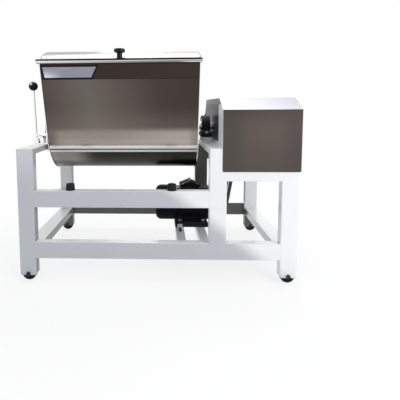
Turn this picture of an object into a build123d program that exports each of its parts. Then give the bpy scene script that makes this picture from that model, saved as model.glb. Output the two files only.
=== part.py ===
from build123d import *
from math import asin, atan2, cos, degrees, hypot, pi, radians, sin, sqrt, tan
import os

# Horizontal dough mixer. X runs along the mixing shaft to the right, Y away from the front, Z up.
# The origin lies on the floor under the middle of the frame. All sizes are in millimetres.

# Frame of welded rectangular tube
frame_length = 1150
frame_depth = 666
frame_top = 559
leg_foot = 24
tube_width = 70
tube_depth = 40
tube_wall = 3
tube_corner = 4
foot_round = 9
drive_room = 289
lower_rail_bottom = 97
upper_rail_bottom = 315
top_rail_bottom = 426
beam_height = 25

# Wheels inside the feet of the legs
wheel_radius = 30
wheel_width = 26
wheel_round = 4
wheel_recess = 5
wheel_recess_radius = 21
wheel_hub_radius = 11
axle_radius = 5
bolt_head_height = 7
hex_size = 1.85

# Mixing shaft and its bearings
shaft_radius = 20
shaft_body_radius = 25
shaft_reach = 27
shaft_shoulder = 13
left_bearing_inset = 17
right_bearing_setback = 15
bearing_centre_height = 49.2
bearing_base_length = 184
bearing_base_width = 50
bearing_base_height = 18
bearing_body_radius = 50
bearing_body_width = 38
bearing_foot_half = 62
bearing_neck_half = 47
bearing_neck_z = -12
bearing_bolt_spacing = 137
bearing_bolt_radius = 6
bearing_slot_length = 22
bearing_corner = 12
insert_radius = 40
insert_width = 34
inner_ring_radius = 26
inner_ring_width = 46
spacer_width = 34
spacer_length = 176
spacer_height = 26

# Trough
trough_left_gap = 18
trough_right_gap = 31
trough_radius = 198
trough_lean = 14.5
rim_height = 289.2
sheet = 2.5
end_plate = 4
end_flange = 5
band_drop = 17.4
band_height = 62
band_sheet = 2.5
seam_angle = 27
seam_width = 12
seam_height = 1.6
hub_flange_radius = 72
hub_flange = 10
hub_boss_radius = 30
hub_boss_reach = 8
rim_notch_width = 40
trough_tilt = 77

# Lid
lid_left_overhang = 11
lid_right_overhang = 5
lid_front_overhang = 5.2
lid_rear_overhang = 3.7
lid_lip = 16.5
lid_brim = 40.3
lid_arch_height = 62
lid_arch_round = 12
knob_setback = 23.5
knob_height = 43
knob_head_radius = 23.5
knob_stem_radius = 12
knob_head_height = 16
hinge_offset = 10.7
hinge_drop = 9
hinge_radius = 5.5
hinge_pin_radius = 2.5
hinge_width = 60
hinge_inset = 86
leaf_sheet = 2.5
leaf_foot_gap = 12
leaf_cover = 47

# Nameplate on the front band
plate_top_width = 246
plate_bottom_width = 206
plate_slant = 9
plate_top_margin = 4
plate_bottom_margin = 0.5
plate_sheet = 0.8

# Rubber buffers that stop the tilting trough
left_buffer_inset = 129.5
right_buffer_inset = 121
buffer_radius = 19
buffer_height = 27
buffer_taper = 4
buffer_round = 2.5
buffer_bore_radius = 6
buffer_bore_depth = 9

# Mixing blades
blade_bar_radius = 12
blade_gap = 11.5
blade_turn = 180
blade_end_gap = 28
blade_rest_angle = 20
arm_width = 38
arm_thickness = 18
arm_hub_radius = 36

# Gear train: the main gear turns the mixing shaft, the cluster gear idles on it
gear_module = 4
pressure_angle = 20
gear_backlash = 0.5
input_pinion_teeth = 18
cluster_gear_teeth = 58
cluster_pinion_teeth = 22
back_gear_teeth = 49
countershaft_drop = 26.2
countershaft_radius = 15
gear_face = 22
pinion_face = 27
first_mesh_offset = 89
mesh_spacing = 31
drive_plate = 8
drive_plate_rise = 70.8
drive_plate_reach = 205
drive_plate_corner = 60
bush_wall = 7
bush_flange = 4
shaft_chamfer = 1.5
gear_hub_radius = 34
back_gear_hub_radius = 26
gear_pocket_radius = 16
gear_pocket_circle = 60
gear_pockets = 5
cluster_pocket_radius = 18
cluster_pocket_circle = 78
cluster_pockets = 6

# Belt drive
belt_count = 2
belt_pitch = 19
belt_top_width = 17
belt_bottom_width = 11.5
belt_thickness = 11
belt_offset = 48.5
large_pulley_radius = 105
motor_pulley_radius = 45
pulley_rim = 7
pulley_web = 10
pulley_margin = 3
pulley_hub_radius = 28
pulley_pocket_radius = 17
pulley_pocket_circle = 55
pulley_pockets = 6
groove_play = 2

# Motor
motor_y = 50
motor_height = 90
motor_length = 310
motor_offset = 16
motor_radius = 88
motor_core_radius = 76
motor_shaft_radius = 12
motor_fin_count = 15
motor_fin_pitch = 11
motor_fin = 3.4
motor_collar = 22
motor_flange = 12
motor_nose = 14
motor_nose_taper = 40
fan_cover_length = 96
fan_cover_sheet = 2
fan_cover_round = 28
vent_circle = 41
vent_length = 34
vent_width = 6
vents = 14
fan_setback = 34
fan_width = 28
fan_radius = 70
fan_hub_radius = 22
fan_sheet = 3
fan_blades = 8
foot_width = 54
foot_rise = 52
foot_height = 13
foot_margin = 21
motor_plate = 12
motor_plate_setback = 50
motor_plate_length = 164
left_motor_rail_inset = 22
right_motor_rail_inset = 39
foot_bolt_inset = 26
foot_bolt_spacing = 140
plate_overhang = 26
box_length = 100
box_width = 92
box_bottom = 327
box_eave = 334
box_ridge = 350
box_ridge_half = 8
box_corner = 6
box_chamfer = 2.5
box_neck_inset = 8
eye_radius = 5.5
eye_wire_radius = 1.8
eye_collar_radius = 5
eye_collar_height = 2.5
cable_radius = 8
gland_wall = 4
gland_reach = 18
screw_lug = 10
screw_lug_width = 24
screw_lug_gap = 60
screw_reach = 34

# Drive cover of folded sheet
cover_left_overhang = 20
cover_right_overhang = 5
cover_rear = 262
cover_head_room = 58
cover_skirt = 94
cover_split = -225
cover_sheet = 2
cover_tray_lip = 28
front_shoulder_drop = 48
front_shoulder_y = -245
rear_chamfer = 60
cover_round = 3
cover_corner = 8

# Lock lever on the left beam
lever_offset = 24
lever_y = -112
lever_rise = 16
lever_length = 251
ball_shift = 8
ball_radius = 21
rod_radius = 5
lever_hub_radius = 11
lock_pin_rise = 41
lock_pin_radius = 7
lock_plate = 8
lock_plate_half_width = 20
lock_plate_margin = 8
pin_gap = 1
ear_gap = 20
ear_sheet = 4
ear_length = 24
guide_offset = 48
guide_length = 16
guide_wall = 6
tail_length = 28
tail_width = 20
tail_height = 8
slot_length = 18

# Clearances
running_gap = 0.05
seat_gap = 0.3
side_gap = 0.5

# Places that follow from the sizes above
leg_x = frame_length / 2 - tube_width / 2
leg_y = frame_depth / 2 - tube_depth / 2
leg_inner_y = leg_y - tube_depth / 2
leg_inner_x = leg_x - tube_width / 2
middle_post_x = leg_x - drive_room
post_left = middle_post_x - tube_width / 2
post_right = middle_post_x + tube_width / 2
axis_z = frame_top + spacer_height + bearing_centre_height
left_bearing_x = -leg_x + left_bearing_inset
right_bearing_x = middle_post_x - right_bearing_setback
shaft_left = left_bearing_x - shaft_reach
rim_top = axis_z + rim_height
band_top = rim_top - band_drop
band_bottom = band_top - band_height
trough_left = -leg_inner_x + trough_left_gap
trough_right = post_left - trough_right_gap
trough_middle = (trough_left + trough_right) / 2
lean = radians(trough_lean)
blade_reach = trough_radius - sheet - blade_gap
buffer_places = (trough_left + left_buffer_inset, trough_right - right_buffer_inset)
motor_rail_top = lower_rail_bottom + tube_depth
motor_z = motor_rail_top + motor_plate + motor_height
motor_right = post_right + motor_offset
motor_left = motor_right - motor_length
fan_cover_right = motor_left + fan_cover_length
fan_left = motor_left + fan_setback
motor_plate_right = motor_right - motor_plate_setback
motor_plate_left = motor_plate_right - motor_plate_length
motor_rail_places = (motor_plate_left + left_motor_rail_inset, motor_plate_right - right_motor_rail_inset)
foot_bolt_places = (motor_plate_left + foot_bolt_inset, motor_plate_right - foot_bolt_inset)
box_left = foot_bolt_places[0]
box_right = box_left + box_length
countershaft_z = axis_z - countershaft_drop
first_mesh_x = post_right + first_mesh_offset
second_mesh_x = first_mesh_x + mesh_spacing
third_mesh_x = second_mesh_x + mesh_spacing
belt_middle_x = post_right + belt_offset
drive_plate_top = axis_z + drive_plate_rise
cover_left = post_right - cover_left_overhang
cover_right = frame_length / 2 + cover_right_overhang
cover_front = -frame_depth / 2 - cover_sheet - seat_gap
cover_top = drive_plate_top + cover_head_room
cover_bottom = frame_top - cover_skirt
front_shoulder_z = cover_top - front_shoulder_drop
lever_x = -leg_x - lever_offset
lever_z = frame_top + lever_rise
ball_x = lever_x - ball_shift
ball_z = lever_z + lever_length
lock_pin_z = frame_top + lock_pin_rise
first_centres = gear_module * (input_pinion_teeth + cluster_gear_teeth) / 2
second_centres = gear_module * (cluster_pinion_teeth + back_gear_teeth) / 2
input_y = -sqrt(first_centres ** 2 - countershaft_drop ** 2)
back_y = sqrt(second_centres ** 2 - countershaft_drop ** 2)
left_plate_x = post_right
right_plate_x = leg_inner_x - drive_plate

os.makedirs("parts", exist_ok=True)


def save(builder, name):
    builder.part.label = name
    export_step(builder.part, f"parts/{name}.step")


def across(x, y=0.0, z=0.0):
    """Plane square to the mixing shaft: its own x is Y, its own y is Z, and it faces +X."""
    return Plane(origin=(x, y, z), x_dir=(0, 1, 0), z_dir=(1, 0, 0))


def facing_back(x, y, z):
    """Upright plane that faces +Y: its own x is -X and its own y is Z."""
    return Plane(origin=(x, y, z), x_dir=(-1, 0, 0), z_dir=(0, 1, 0))


def level(x, y, z):
    """Flat plane that faces up."""
    return Plane(origin=(x, y, z), x_dir=(1, 0, 0), z_dir=(0, 0, 1))


def tube_section(width, height):
    with BuildSketch() as section:
        RectangleRounded(width, height, tube_corner)
        Rectangle(width - 2 * tube_wall, height - 2 * tube_wall, mode=Mode.SUBTRACT)
    return section.sketch


def wall_y(radius, height):
    """Distance of the leaning wall from the shaft plane, at a height above the shaft."""
    return radius * cos(lean) + (height + radius * sin(lean)) * tan(lean)


def trough_section(radius, height):
    """The U of the trough about the shaft: a round bottom that runs on into leaning walls."""
    low = (radius * cos(lean), -radius * sin(lean))
    rim = (wall_y(radius, height), height)
    with BuildSketch() as section:
        with BuildLine():
            Line((-rim[0], rim[1]), (-low[0], low[1]))
            ThreePointArc((-low[0], low[1]), (0, -radius), low)
            Line(low, rim)
            Line(rim, (-rim[0], rim[1]))
        make_face()
    return section.sketch


def gear_points(teeth, phase):
    """Outline of a spur gear with involute flanks, one tooth centred at the phase angle."""
    pitch_radius = gear_module * teeth / 2
    base_radius = pitch_radius * cos(radians(pressure_angle))
    tip_radius = pitch_radius + gear_module
    root_radius = pitch_radius - 1.25 * gear_module
    involute = tan(radians(pressure_angle)) - radians(pressure_angle)
    half_tooth = pi / (2 * teeth) + involute - gear_backlash / (2 * pitch_radius)
    start_radius = max(base_radius, root_radius)
    middle_radius = (start_radius + tip_radius) / 2
    flank = []
    for radius in (start_radius, middle_radius, tip_radius):
        roll = sqrt(max((radius / base_radius) ** 2 - 1, 0))
        flank.append((radius, half_tooth - (roll - atan2(roll, 1))))
    if root_radius < start_radius:
        flank.insert(0, (root_radius, flank[0][1]))
    points = []
    for tooth in range(teeth):
        centre = radians(phase) + 2 * pi * tooth / teeth
        for radius, angle in flank:
            points.append((radius * cos(centre - angle), radius * sin(centre - angle)))
        for radius, angle in reversed(flank):
            points.append((radius * cos(centre + angle), radius * sin(centre + angle)))
    return points


def gear_section(teeth, phase, bore):
    with BuildSketch() as section:
        with BuildLine():
            Polyline(*gear_points(teeth, phase), close=True)
        make_face()
        if bore:
            Circle(bore, mode=Mode.SUBTRACT)
    return section.sketch


def meshing_phase(teeth, other_teeth, other_phase, direction):
    """Phase that puts a gap where the other gear, seen from it in that direction, has a tooth."""
    share = (direction - other_phase) * other_teeth / 360
    return direction + 180 - (0.5 - share) * 360 / teeth


# Legs and posts: closed at the top, open at the foot where the wheel sits
leg_places = {
    "front_left_leg": (-leg_x, -leg_y, leg_foot),
    "rear_left_leg": (-leg_x, leg_y, leg_foot),
    "front_right_leg": (leg_x, -leg_y, leg_foot),
    "rear_right_leg": (leg_x, leg_y, leg_foot),
    "front_middle_post": (middle_post_x, -leg_y, lower_rail_bottom + tube_width),
    "rear_middle_post": (middle_post_x, leg_y, lower_rail_bottom + tube_width),
}
for name, (x, y, foot) in leg_places.items():
    with BuildPart() as leg:
        with BuildSketch(level(x, y, foot)):
            add(tube_section(tube_width, tube_depth))
        extrude(amount=frame_top - foot)
        with BuildSketch(level(x, y, frame_top - tube_wall)):
            RectangleRounded(tube_width, tube_depth, tube_corner)
        extrude(amount=tube_wall)
        if foot == leg_foot:
            with BuildSketch(facing_back(x, y - tube_depth / 2, 0)) as outline:
                with Locations((0, (foot + frame_top) / 2)):
                    Rectangle(tube_width, frame_top - foot)
                fillet(outline.vertices().group_by(Axis.Y)[0], radius=foot_round)
            extrude(amount=tube_depth, mode=Mode.INTERSECT)
            with BuildSketch(facing_back(x, y - tube_depth / 2, wheel_radius)):
                Circle(axle_radius + running_gap)
            extrude(amount=tube_depth, mode=Mode.SUBTRACT)
    save(leg, name)

# Rails along the length of the frame: start, end, middle in Y, bottom
long_rails = {
    "front_upper_rail": (-leg_inner_x, post_left, -leg_y, upper_rail_bottom),
    "front_lower_rail": (-leg_inner_x, leg_inner_x, -leg_y, lower_rail_bottom),
    "rear_lower_rail": (-leg_inner_x, leg_inner_x, leg_y, lower_rail_bottom),
}
for name, (start, end, y, bottom) in long_rails.items():
    with BuildPart() as rail:
        with BuildSketch(across(start, y, bottom + tube_width / 2)):
            add(tube_section(tube_depth, tube_width))
        extrude(amount=end - start)
    save(rail, name)

with BuildPart() as drive_top_rails:
    for y in (-leg_y, leg_y):
        with BuildSketch(across(post_right, y, top_rail_bottom + tube_width / 2)):
            add(tube_section(tube_depth, tube_width))
        extrude(amount=leg_inner_x - post_right)
save(drive_top_rails, "drive_top_rails")

# Side rails lie flat between the front and the rear legs, low down
with BuildPart() as bottom_side_rails:
    for x in (-leg_x, leg_x):
        with BuildSketch(facing_back(x, -leg_inner_y, lower_rail_bottom + tube_depth / 2)):
            add(tube_section(tube_width, tube_depth))
        extrude(amount=2 * leg_inner_y)
save(bottom_side_rails, "bottom_side_rails")

# Beams between the leg tops carry the bearings and the drive plates
beam_bolts = ((-leg_x, left_bearing_x), (middle_post_x, right_bearing_x), (leg_x, None))
with BuildPart() as top_beams:
    for x, bolt_x in beam_bolts:
        with BuildSketch(facing_back(x, -leg_inner_y, frame_top - beam_height / 2)):
            add(tube_section(tube_width, beam_height))
        extrude(amount=2 * leg_inner_y)
        if bolt_x is not None:
            with BuildSketch(level(bolt_x, 0, frame_top - beam_height)):
                with GridLocations(1, bearing_bolt_spacing, 1, 2):
                    Circle(bearing_bolt_radius + side_gap)
            extrude(amount=beam_height, mode=Mode.SUBTRACT)
save(top_beams, "top_beams")

# Two square rails carry the motor; a lug on the first one holds the belt tension screw
screw_lug_y = motor_y - foot_bolt_spacing / 2 - screw_lug_gap
screw_z = motor_rail_top + motor_plate / 2 + 1
with BuildPart() as motor_support_rails:
    for x in motor_rail_places:
        with BuildSketch(facing_back(x, -leg_inner_y, lower_rail_bottom + tube_depth / 2)):
            add(tube_section(tube_depth, tube_depth))
        extrude(amount=2 * leg_inner_y)
    with BuildSketch(facing_back(motor_rail_places[0], screw_lug_y, motor_rail_top)):
        with Locations((0, motor_plate)):
            Rectangle(screw_lug_width, 2 * motor_plate)
        with Locations((0, screw_z - motor_rail_top)):
            Circle(axle_radius + running_gap, mode=Mode.SUBTRACT)
    extrude(amount=screw_lug)
save(motor_support_rails, "motor_support_rails")

# Wheels and their axle bolts
wheel_places = {
    "front_left_wheel": (-leg_x, -leg_y),
    "front_right_wheel": (leg_x, -leg_y),
    "rear_left_wheel": (-leg_x, leg_y),
    "rear_right_wheel": (leg_x, leg_y),
}
hub_width = tube_depth - 2 * tube_wall - 2 * side_gap
for name, (x, y) in wheel_places.items():
    with BuildPart() as wheel:
        with BuildSketch(facing_back(x, y - wheel_width / 2, wheel_radius)):
            Circle(wheel_radius)
        extrude(amount=wheel_width)
        tread = wheel.edges().filter_by(GeomType.CIRCLE)
        fillet(tread, radius=wheel_round)
        for side in (-1, 1):
            with BuildSketch(facing_back(x, y + side * wheel_width / 2, wheel_radius)):
                Circle(wheel_recess_radius)
                Circle(wheel_hub_radius, mode=Mode.SUBTRACT)
            extrude(amount=-side * wheel_recess, mode=Mode.SUBTRACT)
        with BuildSketch(facing_back(x, y - hub_width / 2, wheel_radius)):
            Circle(wheel_hub_radius)
        extrude(amount=hub_width)
        with BuildSketch(facing_back(x, y - hub_width / 2, wheel_radius)):
            Circle(axle_radius + 2 * running_gap)
        extrude(amount=hub_width, mode=Mode.SUBTRACT)
    save(wheel, name)

with BuildPart() as wheel_axles:
    for x, y in wheel_places.values():
        with BuildSketch(facing_back(x, y - tube_depth / 2 - bolt_head_height, wheel_radius)):
            RegularPolygon(axle_radius * hex_size, 6)
        extrude(amount=bolt_head_height)
        with BuildSketch(facing_back(x, y - tube_depth / 2 - bolt_head_height, wheel_radius)):
            Circle(axle_radius)
        extrude(amount=tube_depth + 3 * bolt_head_height)
        with BuildSketch(facing_back(x, y + tube_depth / 2, wheel_radius)):
            RegularPolygon(axle_radius * hex_size, 6)
        extrude(amount=bolt_head_height)
save(wheel_axles, "wheel_axles")

# Buffers on the front upper rail, slightly tapered, hollow for their screw
upper_rail_top = upper_rail_bottom + tube_width
with BuildPart() as tilt_buffers:
    for x in buffer_places:
        with BuildSketch(level(x, -leg_y, upper_rail_top)):
            Circle(buffer_radius)
        extrude(amount=buffer_height, taper=buffer_taper)
    tops = tilt_buffers.faces().filter_by(Axis.Z).group_by(Axis.Z)[-1]
    fillet(tops.edges(), radius=buffer_round)
    for x in buffer_places:
        with BuildSketch(level(x, -leg_y, upper_rail_top + buffer_height)):
            Circle(buffer_bore_radius)
        extrude(amount=-buffer_bore_depth, mode=Mode.SUBTRACT)
save(tilt_buffers, "tilt_buffers")

# Bearing spacers, housings, inserts and bolts
bearing_places = (left_bearing_x, right_bearing_x)
with BuildPart() as bearing_spacers:
    for x in bearing_places:
        with BuildSketch(level(x, 0, frame_top)):
            Rectangle(spacer_width, spacer_length)
            with GridLocations(1, bearing_bolt_spacing, 1, 2):
                Circle(bearing_bolt_radius + side_gap, mode=Mode.SUBTRACT)
        extrude(amount=spacer_height)
save(bearing_spacers, "bearing_spacers")

bearing_base_z = axis_z - bearing_centre_height
with BuildPart() as bearing_housings:
    for x in bearing_places:
        with BuildSketch(across(x - bearing_base_width / 2, 0, bearing_base_z)):
            with Locations((0, bearing_base_height / 2)):
                Rectangle(bearing_base_length, bearing_base_height)
        extrude(amount=bearing_base_width)
        with BuildSketch(across(x - bearing_body_width / 2, 0, axis_z)):
            Circle(bearing_body_radius)
            with BuildLine():
                foot = -bearing_centre_height + bearing_base_height / 2
                Polyline(
                    (-bearing_foot_half, foot),
                    (bearing_foot_half, foot),
                    (bearing_neck_half, bearing_neck_z),
                    (-bearing_neck_half, bearing_neck_z),
                    close=True,
                )
            make_face()
        extrude(amount=bearing_body_width)
        with BuildSketch(level(x, 0, bearing_base_z)):
            Rectangle(2 * bearing_base_width, 2 * bearing_base_length)
        extrude(amount=-bearing_centre_height, mode=Mode.SUBTRACT)
        with BuildSketch(level(x, 0, bearing_base_z)):
            with GridLocations(1, bearing_bolt_spacing, 1, 2):
                SlotOverall(bearing_slot_length, 2 * (bearing_bolt_radius + side_gap), rotation=90)
        extrude(amount=2 * bearing_base_height, mode=Mode.SUBTRACT)
        with BuildSketch(across(x - bearing_base_width / 2, 0, axis_z)):
            Circle(insert_radius + seat_gap)
        extrude(amount=bearing_base_width, mode=Mode.SUBTRACT)
    corners = bearing_housings.edges().filter_by(Axis.Z)
    fillet(corners.group_by(Axis.Y)[0] + corners.group_by(Axis.Y)[-1], radius=bearing_corner)
save(bearing_housings, "bearing_housings")

with BuildPart() as bearing_inserts:
    for x in bearing_places:
        with BuildSketch(across(x - insert_width / 2, 0, axis_z)):
            Circle(insert_radius)
            Circle(shaft_radius + running_gap, mode=Mode.SUBTRACT)
        extrude(amount=insert_width)
        with BuildSketch(across(x - inner_ring_width / 2, 0, axis_z)):
            Circle(inner_ring_radius)
            Circle(shaft_radius + running_gap, mode=Mode.SUBTRACT)
        extrude(amount=inner_ring_width)
save(bearing_inserts, "bearing_inserts")

with BuildPart() as bearing_bolts:
    head_z = bearing_base_z + bearing_base_height
    nut_z = frame_top - beam_height
    for x in bearing_places:
        for y in (-bearing_bolt_spacing / 2, bearing_bolt_spacing / 2):
            with BuildSketch(level(x, y, head_z)):
                RegularPolygon(bearing_bolt_radius * hex_size, 6)
            extrude(amount=bolt_head_height)
            with BuildSketch(level(x, y, nut_z - 2 * bolt_head_height)):
                Circle(bearing_bolt_radius)
            extrude(amount=head_z - nut_z + 3 * bolt_head_height - 1)
            with BuildSketch(level(x, y, nut_z - 1.4 * bolt_head_height)):
                RegularPolygon(bearing_bolt_radius * hex_size, 6)
            extrude(amount=1.4 * bolt_head_height)
save(bearing_bolts, "bearing_bolts")

# Trough: one bent sheet with a seam bead along each side, between two flanged end plates
shell_left = trough_left + end_plate
shell_length = trough_right - trough_left - 2 * end_plate
bead_half = degrees(seam_width / 2 / trough_radius)
with BuildPart() as trough_shell:
    with BuildSketch(across(shell_left, 0, axis_z)):
        add(trough_section(trough_radius, rim_height))
        add(trough_section(trough_radius - sheet, rim_height), mode=Mode.SUBTRACT)
    extrude(amount=shell_length)
    for middle in (180 + seam_angle, -seam_angle):
        with BuildSketch(across(shell_left, 0, axis_z)):
            with BuildLine():
                inner = CenterArc((0, 0), trough_radius - sheet / 2, middle - bead_half, 2 * bead_half)
                outer = CenterArc((0, 0), trough_radius + seam_height, middle - bead_half, 2 * bead_half)
                Line(inner @ 0, outer @ 0)
                Line(inner @ 1, outer @ 1)
            make_face()
        extrude(amount=shell_length)
save(trough_shell, "trough_shell")

# The lock plate on the left end has a hole for the upright and one for the tilted trough
lock_arm = hypot(lever_y, lock_pin_z - axis_z)
lock_angle = degrees(atan2(lock_pin_z - axis_z, lever_y)) % 360
rim_notch = rim_top - band_top + 1
for name, x, side in (("trough_left_end", trough_left, -1), ("trough_right_end", trough_right, 1)):
    inner_face = x - side * end_plate
    with BuildPart() as end:
        with BuildSketch(across(inner_face, 0, axis_z)):
            add(trough_section(trough_radius + end_flange, rim_height))
            flange_y = wall_y(trough_radius, rim_height - rim_notch)
            for edge in (-1, 1):
                notch_y = edge * (flange_y + rim_notch_width / 2)
                with Locations((notch_y, rim_height - rim_notch / 2)):
                    Rectangle(rim_notch_width, rim_notch, mode=Mode.SUBTRACT)
            Circle(hub_boss_radius + seat_gap, mode=Mode.SUBTRACT)
        extrude(amount=side * end_plate)
        if side < 0:
            with BuildSketch(across(x, 0, axis_z)):
                with BuildLine():
                    start = lock_angle - trough_tilt - lock_plate_margin
                    size = trough_tilt + 2 * lock_plate_margin
                    inner = CenterArc((0, 0), lock_arm - lock_plate_half_width, start, size)
                    outer = CenterArc((0, 0), lock_arm + lock_plate_half_width, start, size)
                    Line(inner @ 0, outer @ 0)
                    Line(inner @ 1, outer @ 1)
                make_face()
                for angle in (lock_angle, lock_angle - trough_tilt):
                    place = (lock_arm * cos(radians(angle)), lock_arm * sin(radians(angle)))
                    with Locations(place):
                        Circle(lock_pin_radius + side_gap, mode=Mode.SUBTRACT)
            extrude(amount=-lock_plate)
    save(end, name)

# Hubs: cast flanges that let the trough swing on the mixing shaft
with BuildPart() as trough_hubs:
    for x, side in ((trough_left, -1), (trough_right, 1)):
        with BuildSketch(across(x, 0, axis_z)):
            Circle(hub_flange_radius)
        extrude(amount=side * hub_flange)
        with BuildSketch(across(x, 0, axis_z)):
            Circle(hub_boss_radius)
        extrude(amount=-side * hub_boss_reach)
    with BuildSketch(across(trough_left - hub_flange, 0, axis_z)):
        Circle(shaft_radius + running_gap)
    extrude(amount=trough_right - trough_left + 2 * hub_flange, mode=Mode.SUBTRACT)
save(trough_hubs, "trough_hubs")

# Bands that stiffen the rim, on the front and the rear wall
with BuildPart() as rim_bands:
    for side in (-1, 1):
        low = band_bottom - axis_z
        high = band_top - axis_z
        with BuildSketch(across(shell_left, 0, axis_z)):
            with BuildLine():
                inner = trough_radius + seat_gap
                outer = trough_radius + band_sheet
                Polyline(
                    (side * wall_y(inner, low), low),
                    (side * wall_y(outer, low), low),
                    (side * wall_y(outer, high), high),
                    (side * wall_y(inner, high), high),
                    close=True,
                )
            make_face()
        extrude(amount=shell_length)
save(rim_bands, "rim_bands")

# Nameplate on the front band
band_face_y = -wall_y(trough_radius + band_sheet, band_bottom - axis_z)
plate_height = band_height / cos(lean) - plate_top_margin
front_wall = Plane(
    origin=(shell_left + side_gap, band_face_y, band_bottom),
    x_dir=(1, 0, 0),
    z_dir=(0, -cos(lean), -sin(lean)),
)
with BuildPart() as nameplate:
    with BuildSketch(front_wall.offset(seat_gap)):
        with BuildLine():
            Polyline(
                (0, plate_height),
                (plate_slant, plate_bottom_margin),
                (plate_slant + plate_bottom_width, plate_bottom_margin),
                (plate_top_width, plate_height),
                close=True,
            )
        make_face()
    extrude(amount=plate_sheet)
save(nameplate, "nameplate")

# Lid: a folded pan with a lip in front and at the ends, and an arched crown
rim_reach = wall_y(trough_radius, rim_height)
lid_left = trough_left - lid_left_overhang
lid_right = trough_right + lid_right_overhang
lid_front = -rim_reach - lid_front_overhang
lid_rear = rim_reach + lid_rear_overhang
lid_top = rim_top + seat_gap + sheet
lid_bottom = lid_top - lid_lip
lid_arch_half_width = rim_reach - lid_brim
with BuildPart() as lid:
    lid_length = lid_right - lid_left
    with BuildSketch(across(lid_left, 0, 0)):
        with Locations(((lid_front + lid_rear) / 2, (lid_bottom + lid_top) / 2)):
            Rectangle(lid_rear - lid_front, lid_top - lid_bottom)
    extrude(amount=lid_length)
    with BuildSketch(across(lid_left, 0, lid_top)):
        with BuildLine():
            EllipticalCenterArc((0, 0), lid_arch_half_width, lid_arch_height, start_angle=0, arc_size=180)
            Line((-lid_arch_half_width, 0), (lid_arch_half_width, 0))
        make_face()
    extrude(amount=lid_length)
    crown_ends = lid.edges().filter_by(GeomType.ELLIPSE)
    fillet(crown_ends, radius=lid_arch_round)
    with BuildSketch(across(lid_left + sheet, 0, 0)):
        with Locations(((lid_front + sheet + lid_rear + 1) / 2, (lid_bottom + lid_top - sheet) / 2)):
            Rectangle(lid_rear + 1 - lid_front - sheet, lid_top - sheet - lid_bottom)
    extrude(amount=lid_length - 2 * sheet, mode=Mode.SUBTRACT)
    with BuildSketch(across(lid_left + lid_arch_round, 0, lid_top - sheet - 1)):
        with BuildLine():
            half = lid_arch_half_width - sheet
            EllipticalCenterArc((0, 0), half, lid_arch_height, start_angle=0, arc_size=180)
            Line((-half, 0), (half, 0))
        make_face()
    extrude(amount=lid_length - 2 * lid_arch_round, mode=Mode.SUBTRACT)
save(lid, "lid")

knob_y = lid_front + knob_setback
with BuildPart() as lid_knob:
    neck = knob_height - knob_head_height
    with BuildSketch(Plane(origin=(trough_middle, knob_y, lid_top), x_dir=(1, 0, 0), z_dir=(0, -1, 0))):
        with BuildLine():
            Polyline(
                (0, seat_gap),
                (knob_stem_radius + 2, seat_gap),
                (knob_stem_radius + 2, 4),
                (knob_stem_radius, 8),
                (knob_stem_radius, neck - 2),
                (knob_head_radius - 2, neck),
                (knob_head_radius, neck + 3),
                (knob_head_radius, knob_height - 5),
            )
            ThreePointArc(
                (knob_head_radius, knob_height - 5),
                (knob_head_radius - 2, knob_height - 1.6),
                (knob_head_radius - 6, knob_height),
            )
            Line((knob_head_radius - 6, knob_height), (0, knob_height))
            Line((0, knob_height), (0, seat_gap))
        make_face()
    revolve(axis=Axis((trough_middle, knob_y, 0), (0, 0, 1)))
save(lid_knob, "lid_knob")

# Lid hinges: a leaf and one knuckle on the trough, a leaf, two knuckles and the pin on the lid
hinge_y = rim_reach + hinge_offset
hinge_z = lid_top - hinge_drop
hinge_places = (trough_left + hinge_inset, trough_middle, trough_right - hinge_inset)
middle_knuckle = hinge_width / 3
with BuildPart() as trough_hinge_leaves:
    for x in hinge_places:
        with BuildSketch(across(x - middle_knuckle / 2, 0, axis_z)):
            with BuildLine():
                inner = trough_radius + band_sheet + seat_gap
                low = band_bottom + leaf_foot_gap - axis_z
                high = hinge_z - 3 - axis_z
                Polyline(
                    (wall_y(inner, low), low),
                    (wall_y(inner + leaf_sheet, low), low),
                    (wall_y(inner + leaf_sheet, high - 6), high - 6),
                    (hinge_y, high),
                    (hinge_y - 3, high + 4),
                    (wall_y(inner, high), high),
                    close=True,
                )
            make_face()
        extrude(amount=middle_knuckle)
        with BuildSketch(across(x - middle_knuckle / 2, hinge_y, hinge_z)):
            Circle(hinge_radius)
        extrude(amount=middle_knuckle)
        with BuildSketch(across(x - middle_knuckle / 2, hinge_y, hinge_z)):
            Circle(hinge_pin_radius + running_gap)
        extrude(amount=middle_knuckle, mode=Mode.SUBTRACT)
save(trough_hinge_leaves, "trough_hinge_leaves")

with BuildPart() as lid_hinge_leaves:
    leaf_bottom = lid_top + seat_gap
    for x in hinge_places:
        with BuildSketch(across(x - hinge_width / 2, 0, 0)):
            with BuildLine():
                Polyline(
                    (hinge_y - leaf_cover, leaf_bottom),
                    (hinge_y - leaf_cover, leaf_bottom + leaf_sheet),
                    (hinge_y + leaf_sheet / 2, leaf_bottom + leaf_sheet),
                    (hinge_y + leaf_sheet / 2, hinge_z),
                    (hinge_y - leaf_sheet / 2, hinge_z),
                    (hinge_y - leaf_sheet / 2, leaf_bottom),
                    close=True,
                )
            make_face()
        extrude(amount=hinge_width)
        with BuildSketch(across(x - hinge_width / 2, hinge_y, hinge_z)):
            Circle(hinge_radius)
        extrude(amount=hinge_width)
        with BuildSketch(across(x - middle_knuckle / 2 - seat_gap, hinge_y, hinge_z)):
            Circle(hinge_radius + side_gap)
        extrude(amount=middle_knuckle + 2 * seat_gap, mode=Mode.SUBTRACT)
        with BuildSketch(across(x - hinge_width / 2 - 1, hinge_y, hinge_z)):
            Circle(hinge_pin_radius)
        extrude(amount=hinge_width + 2)
save(lid_hinge_leaves, "lid_hinge_leaves")

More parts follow.
